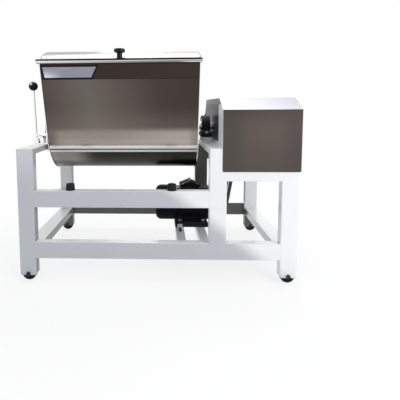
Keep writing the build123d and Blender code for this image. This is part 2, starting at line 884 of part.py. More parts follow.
# Mixing shaft: journals at both ends, thicker between the hubs
shaft_right = right_plate_x + drive_plate - 2
with BuildPart() as mixer_shaft:
    with BuildSketch(across(shaft_left, 0, axis_z)):
        Circle(shaft_radius)
    extrude(amount=shaft_right - shaft_left)
    chamfer(mixer_shaft.edges().filter_by(GeomType.CIRCLE), length=2)
    with BuildSketch(across(trough_left + shaft_shoulder, 0, axis_z)):
        Circle(shaft_body_radius)
    extrude(amount=trough_right - trough_left - 2 * shaft_shoulder)
save(mixer_shaft, "mixer_shaft")

# Blades: two bars wound half a turn round the shaft, held by three pairs of arms
blade_start = trough_left + end_plate + blade_end_gap
blade_length = trough_right - trough_left - 2 * (end_plate + blade_end_gap)
bar_path_radius = blade_reach - blade_bar_radius
bar_helix = Helix(pitch=blade_length * 360 / blade_turn, height=blade_length, radius=bar_path_radius)
bar_paths = []
for start_angle in (blade_rest_angle, blade_rest_angle + 180):
    outward = (0, cos(radians(start_angle)), sin(radians(start_angle)))
    bar_paths.append(Plane(origin=(blade_start, 0, axis_z), x_dir=outward, z_dir=(1, 0, 0)) * bar_helix)
with BuildPart() as mixing_blades:
    for bar_path in bar_paths:
        with BuildSketch(Plane(origin=bar_path @ 0, z_dir=bar_path % 0)):
            Circle(blade_bar_radius)
        sweep(path=bar_path, is_frenet=True)
    for station in (0, 0.5, 1):
        arm_angle = blade_rest_angle + blade_turn * station
        arm_x = blade_start + blade_length * station
        with BuildSketch(across(arm_x - arm_thickness / 2, 0, axis_z)):
            SlotOverall(2 * blade_reach - 4, arm_width, rotation=arm_angle)
        extrude(amount=arm_thickness)
        with BuildSketch(across(arm_x - arm_thickness, 0, axis_z)):
            Circle(arm_hub_radius)
        extrude(amount=2 * arm_thickness)
    with BuildSketch(across(blade_start - 2 * arm_thickness, 0, axis_z)):
        Circle(shaft_body_radius + running_gap)
    extrude(amount=blade_length + 4 * arm_thickness, mode=Mode.SUBTRACT)
save(mixing_blades, "mixing_blades")

# Gear train. Each phase follows from the gear it meshes with, seen along the line of centres.
input_direction = degrees(atan2(-countershaft_drop, input_y))
back_direction = degrees(atan2(-countershaft_drop, back_y))
input_phase = meshing_phase(input_pinion_teeth, cluster_gear_teeth, 0, input_direction)
back_gear_phase = meshing_phase(back_gear_teeth, cluster_pinion_teeth, 0, back_direction)
main_gear_phase = meshing_phase(back_gear_teeth, cluster_pinion_teeth, 0, back_direction + 180)
back_plane = (back_y, countershaft_z)
input_plane = (input_y, countershaft_z)

with BuildPart() as main_gear:
    with BuildSketch(across(third_mesh_x - gear_face / 2, 0, axis_z)):
        add(gear_section(back_gear_teeth, main_gear_phase, shaft_radius + running_gap))
        with PolarLocations(gear_pocket_circle, gear_pockets):
            Circle(gear_pocket_radius, mode=Mode.SUBTRACT)
    extrude(amount=gear_face)
    with BuildSketch(across(third_mesh_x + gear_face / 2, 0, axis_z)):
        Circle(gear_hub_radius)
        Circle(shaft_radius + running_gap, mode=Mode.SUBTRACT)
    extrude(amount=gear_face)
save(main_gear, "main_gear")

with BuildPart() as cluster_gear:
    with BuildSketch(across(first_mesh_x - gear_face / 2, 0, axis_z)):
        add(gear_section(cluster_gear_teeth, 0, shaft_radius + running_gap))
        with PolarLocations(cluster_pocket_circle, cluster_pockets):
            Circle(cluster_pocket_radius, mode=Mode.SUBTRACT)
    extrude(amount=gear_face)
    cluster_reach = second_mesh_x + pinion_face / 2 - first_mesh_x - gear_face / 2
    with BuildSketch(across(first_mesh_x + gear_face / 2, 0, axis_z)):
        add(gear_section(cluster_pinion_teeth, 0, shaft_radius + running_gap))
    extrude(amount=cluster_reach)
save(cluster_gear, "cluster_gear")

countershaft_reach = 3
countershaft_left = left_plate_x - countershaft_reach
countershaft_length = right_plate_x + drive_plate + countershaft_reach - countershaft_left
with BuildPart() as back_shaft:
    with BuildSketch(across(countershaft_left, *back_plane)):
        Circle(countershaft_radius)
    extrude(amount=countershaft_length)
    chamfer(back_shaft.edges().filter_by(GeomType.CIRCLE), length=shaft_chamfer)
    with BuildSketch(across(third_mesh_x - pinion_face / 2, *back_plane)):
        add(gear_section(cluster_pinion_teeth, 0, 0))
    extrude(amount=pinion_face)
save(back_shaft, "back_shaft")

with BuildPart() as back_gear:
    with BuildSketch(across(second_mesh_x - gear_face / 2, *back_plane)):
        add(gear_section(back_gear_teeth, back_gear_phase, countershaft_radius + running_gap))
        with PolarLocations(gear_pocket_circle, gear_pockets):
            Circle(gear_pocket_radius, mode=Mode.SUBTRACT)
    extrude(amount=gear_face)
    with BuildSketch(across(second_mesh_x + gear_face / 2, *back_plane)):
        Circle(back_gear_hub_radius)
        Circle(countershaft_radius + running_gap, mode=Mode.SUBTRACT)
    extrude(amount=third_mesh_x - second_mesh_x - (pinion_face + gear_face) / 2 - seat_gap)
save(back_gear, "back_gear")

with BuildPart() as input_shaft:
    with BuildSketch(across(countershaft_left, *input_plane)):
        Circle(countershaft_radius)
    extrude(amount=countershaft_length)
    chamfer(input_shaft.edges().filter_by(GeomType.CIRCLE), length=shaft_chamfer)
    with BuildSketch(across(first_mesh_x - gear_face / 2, *input_plane)):
        add(gear_section(input_pinion_teeth, input_phase, 0))
    extrude(amount=pinion_face)
save(input_shaft, "input_shaft")

# Plates on the inner sides of the beams carry the countershafts and the shaft's right end
with BuildPart() as drive_plates:
    for x in (left_plate_x, right_plate_x):
        with BuildSketch(across(x, 0, 0)):
            with BuildLine():
                low = frame_top - beam_height
                Polyline(
                    (-drive_plate_reach, low),
                    (drive_plate_reach, low),
                    (drive_plate_reach, drive_plate_top - drive_plate_corner),
                    (drive_plate_reach - drive_plate_corner, drive_plate_top),
                    (-drive_plate_reach + drive_plate_corner, drive_plate_top),
                    (-drive_plate_reach, drive_plate_top - drive_plate_corner),
                    close=True,
                )
            make_face()
            with Locations(back_plane, input_plane):
                Circle(countershaft_radius + bush_wall + seat_gap, mode=Mode.SUBTRACT)
            with Locations((0, axis_z)):
                Circle(shaft_radius + bush_wall + seat_gap, mode=Mode.SUBTRACT)
        extrude(amount=drive_plate)
save(drive_plates, "drive_plates")

with BuildPart() as drive_bushes:
    bush_seats = [
        (left_plate_x, 1, back_plane, countershaft_radius),
        (left_plate_x, 1, input_plane, countershaft_radius),
        (left_plate_x, 1, (0, axis_z), shaft_radius),
        (right_plate_x, -1, back_plane, countershaft_radius),
        (right_plate_x, -1, input_plane, countershaft_radius),
        (right_plate_x, -1, (0, axis_z), shaft_radius),
    ]
    for x, inward, (y, z), radius in bush_seats:
        flange_x = x + drive_plate if inward > 0 else x
        with BuildSketch(across(x, y, z)):
            Circle(radius + bush_wall)
        extrude(amount=drive_plate)
        with BuildSketch(across(flange_x, y, z)):
            Circle(radius + bush_wall + bush_flange)
        extrude(amount=inward * bush_flange)
        with BuildSketch(across(x - drive_plate, y, z)):
            Circle(radius + running_gap)
        extrude(amount=3 * drive_plate, mode=Mode.SUBTRACT)
save(drive_bushes, "drive_bushes")

# Belt pulleys: grooved rims on a web with a hub
belt_places = [belt_middle_x + belt_pitch * (n - (belt_count - 1) / 2) for n in range(belt_count)]
pulley_half = belt_pitch * belt_count / 2 + pulley_margin
groove_depth = belt_thickness + groove_play
belt_flare = (belt_top_width - belt_bottom_width) / 2 / belt_thickness
groove_top_half = belt_top_width / 2 + seat_gap
groove_bottom_half = groove_top_half - belt_flare * groove_depth


def pulley_profile(outer, inner):
    """Half section of a grooved rim: X along, radius up, in a plane through the pulley's axis."""
    points = [(belt_middle_x - pulley_half, inner), (belt_middle_x - pulley_half, outer)]
    for x in belt_places:
        points.append((x - groove_top_half, outer))
        points.append((x - groove_bottom_half, outer - groove_depth))
        points.append((x + groove_bottom_half, outer - groove_depth))
        points.append((x + groove_top_half, outer))
    points.append((belt_middle_x + pulley_half, outer))
    points.append((belt_middle_x + pulley_half, inner))
    return points


large_rim_inner = large_pulley_radius - groove_depth - pulley_rim
with BuildPart() as large_pulley:
    with BuildSketch(Plane(origin=(0, input_y, countershaft_z), x_dir=(1, 0, 0), z_dir=(0, -1, 0))):
        with BuildLine():
            Polyline(*pulley_profile(large_pulley_radius, large_rim_inner), close=True)
        make_face()
    revolve(axis=Axis((0, input_y, countershaft_z), (1, 0, 0)))
    with BuildSketch(across(belt_middle_x - pulley_web / 2, *input_plane)):
        Circle(large_rim_inner + 1)
        with PolarLocations(pulley_pocket_circle, pulley_pockets):
            Circle(pulley_pocket_radius, mode=Mode.SUBTRACT)
    extrude(amount=pulley_web)
    with BuildSketch(across(belt_middle_x - pulley_half, *input_plane)):
        Circle(pulley_hub_radius)
    extrude(amount=2 * pulley_half)
    with BuildSketch(across(belt_middle_x - 2 * pulley_half, *input_plane)):
        Circle(countershaft_radius + running_gap)
    extrude(amount=4 * pulley_half, mode=Mode.SUBTRACT)
save(large_pulley, "large_pulley")

with BuildPart() as motor_pulley:
    with BuildSketch(Plane(origin=(0, motor_y, motor_z), x_dir=(1, 0, 0), z_dir=(0, -1, 0))):
        with BuildLine():
            small_bore = motor_shaft_radius + running_gap
            Polyline(*pulley_profile(motor_pulley_radius, small_bore), close=True)
        make_face()
    revolve(axis=Axis((0, motor_y, motor_z), (1, 0, 0)))
save(motor_pulley, "motor_pulley")

# V-belts: two straight runs and two arcs round the pulleys
drive_y = input_y - motor_y
drive_z = countershaft_z - motor_z
drive_length = hypot(drive_y, drive_z)
drive_angle = degrees(atan2(drive_z, drive_y))
wrap = degrees(asin((large_pulley_radius - motor_pulley_radius) / drive_length))


with BuildPart() as drive_belts:
    wrap_start = drive_angle - 90 - wrap
    for x in belt_places:
        with BuildLine(across(x)) as belt_path:
            upper = CenterArc((input_y, countershaft_z), large_pulley_radius, wrap_start, 180 + 2 * wrap)
            lower = CenterArc((motor_y, motor_z), motor_pulley_radius, wrap_start, -180 + 2 * wrap)
            Line(upper @ 1, lower @ 1)
            Line(lower @ 0, upper @ 0)
        with BuildSketch(Plane(origin=belt_path.line @ 0, x_dir=(1, 0, 0), z_dir=belt_path.line % 0)):
            with BuildLine():
                Polyline(
                    (-belt_top_width / 2, 0),
                    (-belt_bottom_width / 2, -belt_thickness),
                    (belt_bottom_width / 2, -belt_thickness),
                    (belt_top_width / 2, 0),
                    close=True,
                )
            make_face()
        sweep(path=belt_path.line)
save(drive_belts, "drive_belts")

# Motor: finned body on feet, end shields, a bore for the rotor shaft
with BuildPart() as motor_body:
    collar_left = fan_cover_right - motor_collar + fan_cover_sheet
    flange_left = motor_right - motor_nose - motor_flange
    fins_left = fan_cover_right + 2 * fan_cover_sheet
    with BuildSketch(across(collar_left, motor_y, motor_z)):
        Circle(motor_core_radius)
    extrude(amount=flange_left - collar_left + fan_cover_sheet)
    with BuildSketch(across(fins_left, motor_y, motor_z)):
        fin_rows = [(0, motor_fin_pitch * (n - (motor_fin_count - 1) / 2)) for n in range(motor_fin_count)]
        with Locations(*fin_rows):
            Rectangle(2 * motor_radius, motor_fin)
        Circle(motor_radius, mode=Mode.INTERSECT)
    extrude(amount=flange_left + fan_cover_sheet - fins_left)
    with BuildSketch(across(collar_left, motor_y, motor_z)):
        Circle(motor_radius - fan_cover_sheet - seat_gap)
    extrude(amount=motor_collar)
    with BuildSketch(across(flange_left, motor_y, motor_z)):
        Circle(motor_core_radius + foot_margin / 2)
    extrude(amount=motor_flange)
    with BuildSketch(across(motor_right - motor_nose, motor_y, motor_z)):
        Circle(motor_core_radius)
    extrude(amount=motor_nose, taper=motor_nose_taper)
    feet_left = foot_bolt_places[0] - foot_margin
    feet_right = foot_bolt_places[1] + foot_margin
    with BuildSketch(across(feet_left, motor_y, motor_z - motor_height)):
        for side in (-1, 1):
            foot_edge = foot_bolt_spacing / 2 + foot_margin
            with BuildLine():
                Polyline(
                    (side * foot_edge, 0),
                    (side * (foot_edge - foot_width), 0),
                    (side * (foot_edge - 1.1 * foot_width), 0.7 * foot_rise),
                    (side * (foot_edge - 0.55 * foot_width), foot_rise),
                    (side * (foot_edge - 0.63 * foot_width), foot_height),
                    (side * foot_edge, foot_height),
                    close=True,
                )
            make_face()
    extrude(amount=feet_right - feet_left)
    with BuildSketch(level((box_left + box_right) / 2, motor_y, motor_z)):
        neck_length = box_right - box_left - 2 * box_neck_inset
        RectangleRounded(neck_length, box_width - 2 * box_neck_inset, box_corner)
    extrude(amount=box_bottom - motor_z)
    with BuildSketch(across(motor_left, motor_y, motor_z)):
        Circle(motor_shaft_radius + running_gap)
    extrude(amount=motor_length + motor_nose, mode=Mode.SUBTRACT)
    with BuildSketch(level(sum(foot_bolt_places) / 2, motor_y, motor_z - motor_height)):
        with GridLocations(foot_bolt_places[1] - foot_bolt_places[0], foot_bolt_spacing, 2, 2):
            Circle(axle_radius + side_gap)
    extrude(amount=foot_rise, mode=Mode.SUBTRACT)
save(motor_body, "motor_body")

# Fan cover: a deep drawn cup with a ring of air slots in its end
with BuildPart() as motor_fan_cover:
    with BuildSketch(across(motor_left, motor_y, motor_z)):
        Circle(motor_radius)
    extrude(amount=fan_cover_right - motor_left)
    fillet(motor_fan_cover.edges().group_by(Axis.X)[0], radius=fan_cover_round)
    offset(amount=-fan_cover_sheet, openings=motor_fan_cover.faces().sort_by(Axis.X)[-1])
    with BuildSketch(across(motor_left - 1, motor_y, motor_z)):
        with PolarLocations(vent_circle, vents):
            SlotOverall(vent_length, vent_width)
    extrude(amount=fan_cover_sheet + 2, mode=Mode.SUBTRACT)
save(motor_fan_cover, "motor_fan_cover")

with BuildPart() as motor_fan:
    with BuildSketch(across(fan_left, motor_y, motor_z)):
        Circle(fan_hub_radius)
    extrude(amount=fan_width)
    with BuildSketch(across(fan_left + fan_width - fan_sheet, motor_y, motor_z)):
        Circle(fan_radius)
    extrude(amount=fan_sheet)
    with BuildSketch(across(fan_left, motor_y, motor_z)):
        blade_root = fan_hub_radius - fan_sheet
        with PolarLocations((fan_radius + blade_root) / 2, fan_blades):
            Rectangle(fan_radius - blade_root, fan_sheet)
    extrude(amount=fan_width)
    with BuildSketch(across(fan_left, motor_y, motor_z)):
        Circle(motor_shaft_radius + running_gap)
    extrude(amount=fan_width, mode=Mode.SUBTRACT)
save(motor_fan, "motor_fan")

with BuildPart() as motor_shaft:
    shaft_end = belt_middle_x + pulley_half - shaft_chamfer
    shaft_start = fan_left - fan_sheet
    with BuildSketch(across(shaft_start, motor_y, motor_z)):
        Circle(motor_shaft_radius)
    extrude(amount=shaft_end - shaft_start)
    chamfer(motor_shaft.edges().filter_by(GeomType.CIRCLE), length=shaft_chamfer)
save(motor_shaft, "motor_shaft")

# Terminal box with a gabled lid and a cable gland at the back
box_middle_x = (box_left + box_right) / 2
gland_z = (box_bottom + box_ridge) / 2
with BuildPart() as terminal_box:
    with BuildSketch(facing_back(box_middle_x, motor_y - box_width / 2, 0)):
        with BuildLine():
            Polyline(
                (-box_length / 2, box_bottom + seat_gap),
                (-box_length / 2, box_eave),
                (-box_ridge_half, box_ridge),
                (box_ridge_half, box_ridge),
                (box_length / 2, box_eave),
                (box_length / 2, box_bottom + seat_gap),
                close=True,
            )
        make_face()
    extrude(amount=box_width)
    chamfer(terminal_box.faces().filter_by(Axis.Y).edges(), length=box_chamfer)
    with BuildSketch(facing_back(box_middle_x, motor_y + box_width / 2 - 1, gland_z)):
        RegularPolygon(cable_radius + gland_wall, 6)
    extrude(amount=gland_reach)
    with BuildSketch(facing_back(box_middle_x, motor_y + box_width / 2 - 1, gland_z)):
        Circle(cable_radius)
    extrude(amount=gland_reach, mode=Mode.SUBTRACT)
save(terminal_box, "terminal_box")

# Lifting eye on the ridge of the terminal box
with BuildPart() as motor_eye:
    with BuildSketch(level(box_middle_x, motor_y, box_ridge + seat_gap)):
        Circle(eye_collar_radius)
    extrude(amount=eye_collar_height)
    eye_z = box_ridge + seat_gap + eye_collar_height - 1 + eye_radius + eye_wire_radius
    with Locations(facing_back(box_middle_x, motor_y, eye_z)):
        Torus(eye_radius, eye_wire_radius)
save(motor_eye, "motor_eye")

plate_reach = foot_bolt_spacing / 2 + plate_overhang
with BuildPart() as motor_base_plate:
    with BuildSketch(level((motor_plate_left + motor_plate_right) / 2, motor_y, motor_rail_top)):
        Rectangle(motor_plate_right - motor_plate_left, 2 * plate_reach)
    extrude(amount=motor_plate)
    chamfer(motor_base_plate.edges().filter_by(Axis.Z), length=6)
    with BuildSketch(level(sum(foot_bolt_places) / 2, motor_y, motor_rail_top)):
        with GridLocations(foot_bolt_places[1] - foot_bolt_places[0], foot_bolt_spacing, 2, 2):
            Circle(axle_radius + running_gap)
    extrude(amount=motor_plate, mode=Mode.SUBTRACT)
save(motor_base_plate, "motor_base_plate")

with BuildPart() as motor_fasteners:
    foot_top = motor_z - motor_height + foot_height
    for x in foot_bolt_places:
        for side in (-1, 1):
            y = motor_y + side * foot_bolt_spacing / 2
            with BuildSketch(level(x, y, motor_rail_top + seat_gap)):
                Circle(axle_radius)
            extrude(amount=foot_top - motor_rail_top + bolt_head_height)
            with BuildSketch(level(x, y, foot_top)):
                RegularPolygon(axle_radius * hex_size, 6)
            extrude(amount=bolt_head_height)
    screw_start = screw_lug_y - screw_reach
    with BuildSketch(facing_back(motor_rail_places[0], screw_start, screw_z)):
        Circle(axle_radius)
    extrude(amount=motor_y - plate_reach - seat_gap - screw_start)
    with BuildSketch(facing_back(motor_rail_places[0], screw_start, screw_z)):
        RegularPolygon(axle_radius * 1.35, 6)
    extrude(amount=bolt_head_height)
save(motor_fasteners, "motor_fasteners")

# Drive cover. The front shell hangs before the frame; its left side ends above the middle beam.
cover_width = cover_right - cover_left
with BuildPart() as cover_front_shell:
    with BuildSketch(across(cover_left)):
        with BuildLine():
            Polyline(
                (cover_front, cover_bottom),
                (cover_front, front_shoulder_z),
                (front_shoulder_y, cover_top),
                (cover_split, cover_top),
                (cover_split, cover_bottom),
                close=True,
            )
        make_face()
    extrude(amount=cover_width)
    upright = cover_front_shell.edges().filter_by(Axis.Z).group_by(Axis.Y)[0]
    fillet(upright, radius=cover_round)
    with BuildSketch(across(cover_left + cover_sheet)):
        with BuildLine():
            Polyline(
                (cover_front + cover_sheet, cover_bottom - 1),
                (cover_front + cover_sheet, front_shoulder_z - 1),
                (front_shoulder_y + 1, cover_top - cover_sheet),
                (cover_split + 1, cover_top - cover_sheet),
                (cover_split + 1, cover_bottom - 1),
                close=True,
            )
        make_face()
    extrude(amount=cover_width - 2 * cover_sheet, mode=Mode.SUBTRACT)
    with BuildSketch(across(cover_left - 1)):
        with BuildLine():
            Polyline(
                (cover_front + cover_sheet, cover_bottom - 1),
                (cover_front + cover_sheet, frame_top + seat_gap),
                (cover_split + 1, frame_top + seat_gap),
                (cover_split + 1, cover_bottom - 1),
                close=True,
            )
        make_face()
    extrude(amount=cover_width / 2, mode=Mode.SUBTRACT)
    with BuildSketch(facing_back((cover_left + cover_right) / 2, cover_front - 1, cover_bottom)):
        for side in (-1, 1):
            with Locations((side * (cover_width - cover_corner) / 2, cover_corner / 2)):
                Rectangle(cover_corner, cover_corner)
        with Locations((0, cover_corner)):
            with GridLocations(cover_width - 2 * cover_corner, 1, 2, 1):
                Circle(cover_corner, mode=Mode.SUBTRACT)
    extrude(amount=cover_sheet + 1, mode=Mode.SUBTRACT)
save(cover_front_shell, "cover_front_shell")

# Walls of the rear part, set in under the tray that closes the top
box_inset = cover_sheet + seat_gap
wall_left = cover_left + box_inset
wall_right = cover_right - box_inset
wall_front = cover_split + seat_gap
wall_rear = cover_rear
wall_top = cover_top - box_inset
with BuildPart() as cover_rear_box:
    with BuildSketch(across(wall_left)):
        with BuildLine():
            Polyline(
                (wall_front, cover_bottom),
                (wall_front, wall_top),
                (wall_rear - rear_chamfer - 1, wall_top),
                (wall_rear, wall_top - rear_chamfer - 1),
                (wall_rear, cover_bottom),
                close=True,
            )
        make_face()
    extrude(amount=wall_right - wall_left)
    with BuildSketch(across(wall_left + cover_sheet)):
        with BuildLine():
            Polyline(
                (wall_front - 1, cover_bottom - 1),
                (wall_front - 1, wall_top + 1),
                (wall_rear - rear_chamfer - 1 - 1.5 * cover_sheet, wall_top + 1),
                (wall_rear - cover_sheet, wall_top - rear_chamfer - 1),
                (wall_rear - cover_sheet, cover_bottom - 1),
                close=True,
            )
        make_face()
    extrude(amount=wall_right - wall_left - 2 * cover_sheet, mode=Mode.SUBTRACT)
    with BuildSketch(across(wall_left - 1)):
        with Locations(((wall_front + wall_rear) / 2, (cover_bottom + frame_top + seat_gap) / 2)):
            Rectangle(wall_rear - wall_front + 2, frame_top + seat_gap - cover_bottom)
    extrude(amount=wall_right - wall_left + 1 - cover_sheet, mode=Mode.SUBTRACT)
    with BuildSketch(across(wall_left - 1, 0, axis_z)):
        Circle(shaft_radius + 3)
    extrude(amount=cover_sheet + 2, mode=Mode.SUBTRACT)
save(cover_rear_box, "cover_rear_box")

with BuildPart() as cover_top_tray:
    tray_low = cover_top - cover_tray_lip
    tray_rear = cover_rear - rear_chamfer
    with BuildSketch(across(cover_left)):
        with BuildLine():
            Polyline(
                (wall_front, tray_low),
                (wall_front, cover_top),
                (tray_rear, cover_top),
                (tray_rear + cover_tray_lip, tray_low),
                close=True,
            )
        make_face()
    extrude(amount=cover_width)
    with BuildSketch(across(cover_left + cover_sheet)):
        with BuildLine():
            Polyline(
                (wall_front - 1, tray_low - 1),
                (wall_front - 1, cover_top - cover_sheet),
                (tray_rear - 1, cover_top - cover_sheet),
                (tray_rear + cover_tray_lip, tray_low - 1),
                close=True,
            )
        make_face()
    extrude(amount=cover_width - 2 * cover_sheet, mode=Mode.SUBTRACT)
save(cover_top_tray, "cover_top_tray")

# Lock lever: bracket with two ears and a pin guide, the lever on trunnions, and the pin it draws
guide_left = lever_x + guide_offset
guide_right = guide_left + guide_length
foot_left = lever_x - ear_length / 2
with BuildPart() as lock_bracket:
    with BuildSketch(level((foot_left + guide_right) / 2, lever_y, frame_top)):
        Rectangle(guide_right - foot_left, ear_gap + 3 * ear_sheet)
    extrude(amount=ear_sheet)
    for side in (-1, 1):
        ear_y = lever_y + side * (ear_gap + ear_sheet) / 2
        with BuildSketch(facing_back(lever_x, ear_y - ear_sheet / 2, frame_top)):
            with Locations((0, (lever_z - frame_top) / 2)):
                Rectangle(ear_length, lever_z - frame_top)
            with Locations((0, lever_z - frame_top)):
                Circle(ear_length / 2)
                Circle(rod_radius + running_gap, mode=Mode.SUBTRACT)
        extrude(amount=ear_sheet)
    guide_top = lock_pin_z + lock_pin_radius + guide_wall
    with BuildSketch(across(guide_left, lever_y, 0)):
        with Locations((0, (frame_top + guide_top) / 2)):
            Rectangle(tail_width + 4, guide_top - frame_top)
        with Locations((0, lock_pin_z)):
            Circle(lock_pin_radius + running_gap, mode=Mode.SUBTRACT)
    extrude(amount=guide_length)
    fillet(lock_bracket.edges().filter_by(Axis.X).group_by(Axis.Z)[-1], radius=guide_wall)
save(lock_bracket, "lock_bracket")

rod_lean = Vector(ball_x - lever_x, 0, ball_z - lever_z).normalized()
with BuildPart() as lock_lever:
    with BuildSketch(facing_back(lever_x, lever_y - ear_gap / 2 + side_gap, lever_z)):
        Circle(lever_hub_radius)
    extrude(amount=ear_gap - 2 * side_gap)
    trunnion = ear_gap / 2 + ear_sheet + 2
    with BuildSketch(facing_back(lever_x, lever_y - trunnion, lever_z)):
        Circle(rod_radius)
    extrude(amount=2 * trunnion)
    with BuildSketch(Plane(origin=(lever_x, lever_y, lever_z), x_dir=(0, 1, 0), z_dir=rod_lean)):
        Circle(rod_radius)
    extrude(amount=ball_z - lever_z)
save(lock_lever, "lock_lever")

with BuildPart() as lever_ball:
    with Locations((ball_x, lever_y, ball_z)):
        Sphere(ball_radius)
    with BuildSketch(Plane(origin=(lever_x, lever_y, lever_z), x_dir=(0, 1, 0), z_dir=rod_lean)):
        Circle(rod_radius + running_gap)
    extrude(amount=ball_z - lever_z + side_gap, mode=Mode.SUBTRACT)
save(lever_ball, "lever_ball")

tail_middle = lever_x + (ball_x - lever_x) * (lock_pin_z - lever_z) / (ball_z - lever_z)
with BuildPart() as lock_pin:
    with BuildSketch(level(tail_middle, lever_y, lock_pin_z - tail_height / 2)):
        RectangleRounded(tail_length, tail_width, 3)
        Rectangle(slot_length, 2 * (rod_radius + side_gap), mode=Mode.SUBTRACT)
    extrude(amount=tail_height)
    pin_start = tail_middle + tail_length / 2 - (tail_length - slot_length) / 4
    pin_end = trough_left - lock_plate - pin_gap
    with BuildSketch(across(pin_start, lever_y, lock_pin_z)):
        Circle(lock_pin_radius)
    extrude(amount=pin_end - pin_start)
    chamfer(lock_pin.edges().filter_by(GeomType.CIRCLE).group_by(Axis.X)[-1], length=shaft_chamfer)
save(lock_pin, "lock_pin")
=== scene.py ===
import math

import bmesh
import bpy
from mathutils import Matrix, Vector


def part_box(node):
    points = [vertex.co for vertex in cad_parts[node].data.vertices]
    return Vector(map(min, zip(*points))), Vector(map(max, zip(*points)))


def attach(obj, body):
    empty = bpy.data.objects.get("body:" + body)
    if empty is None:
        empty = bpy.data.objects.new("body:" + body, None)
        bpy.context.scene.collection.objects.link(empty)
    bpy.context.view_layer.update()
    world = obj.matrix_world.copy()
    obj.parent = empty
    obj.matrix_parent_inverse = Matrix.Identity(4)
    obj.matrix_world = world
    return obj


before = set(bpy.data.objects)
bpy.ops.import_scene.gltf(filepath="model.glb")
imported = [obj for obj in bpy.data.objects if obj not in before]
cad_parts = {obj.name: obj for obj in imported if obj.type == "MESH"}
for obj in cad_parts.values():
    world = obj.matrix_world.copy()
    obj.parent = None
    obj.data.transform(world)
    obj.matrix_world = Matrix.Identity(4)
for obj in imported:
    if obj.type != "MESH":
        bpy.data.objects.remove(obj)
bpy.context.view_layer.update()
print("frame loaded:", len(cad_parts), "nodes")


class Wire:  # one socket, so that shader maths reads as arithmetic
    def __init__(self, owner, socket):
        self.owner = owner
        self.socket = socket

    def math(self, operation, *values):
        return self.owner.node("ShaderNodeMath", {"operation": operation}, dict(enumerate(values)))

    def __add__(self, other):
        return self.math("ADD", self, other)

    def __radd__(self, other):
        return self.math("ADD", other, self)

    def __sub__(self, other):
        return self.math("SUBTRACT", self, other)

    def __rsub__(self, other):
        return self.math("SUBTRACT", other, self)

    def __mul__(self, other):
        return self.math("MULTIPLY", self, other)

    def __truediv__(self, other):
        return self.math("DIVIDE", self, other)

    def __neg__(self):
        return 0 - self

    def __abs__(self):
        return self.math("ABSOLUTE", self)

    def root(self):
        return self.math("SQRT", self)

    def least(self, other):
        return self.math("MINIMUM", self, other)

    def most(self, other):
        return self.math("MAXIMUM", self, other)

    def step(self, span):  # 0 before the span, 1 after it, smooth along it
        settings = {"interpolation_type": "SMOOTHSTEP"}
        inputs = {"Value": self, "From Min": span[0], "From Max": span[1]}
        return self.owner.node("ShaderNodeMapRange", settings, inputs, "Result")

    def fall(self, span):  # 1 before the span, 0 after it
        return 1 - self.step(span)

    def swing(self, amount):  # a noise, spread to both sides of zero
        return (self - 0.5) * amount


class Axes:  # the three parts of a place or a direction
    def __init__(self, owner, source):
        split = owner.node("ShaderNodeSeparateXYZ", {}, {0: source}, "X")
        outputs = split.socket.node.outputs
        self.x, self.y, self.z = (Wire(owner, outputs[name]) for name in "XYZ")


class NodeTree:  # makes the nodes of one material or of the world
    def __init__(self, tree):
        self.tree = tree

    def node(self, kind, settings, inputs, output=0):
        made = self.tree.nodes.new(kind)
        for key, value in settings.items():
            setattr(made, key, value)
        for key, value in inputs.items():
            if isinstance(value, Wire):
                self.tree.links.new(value.socket, made.inputs[key])
            else:
                made.inputs[key].default_value = value
        return Wire(self, made.outputs[output])

    def seenRays(self):  # 1 for what the camera sees, straight, mirrored or through something clear
        camera = self.node("ShaderNodeLightPath", {}, {}, "Is Camera Ray")
        outputs = camera.socket.node.outputs
        glossy = Wire(self, outputs["Is Glossy Ray"])
        return camera.most(glossy).most(Wire(self, outputs["Is Transmission Ray"]))


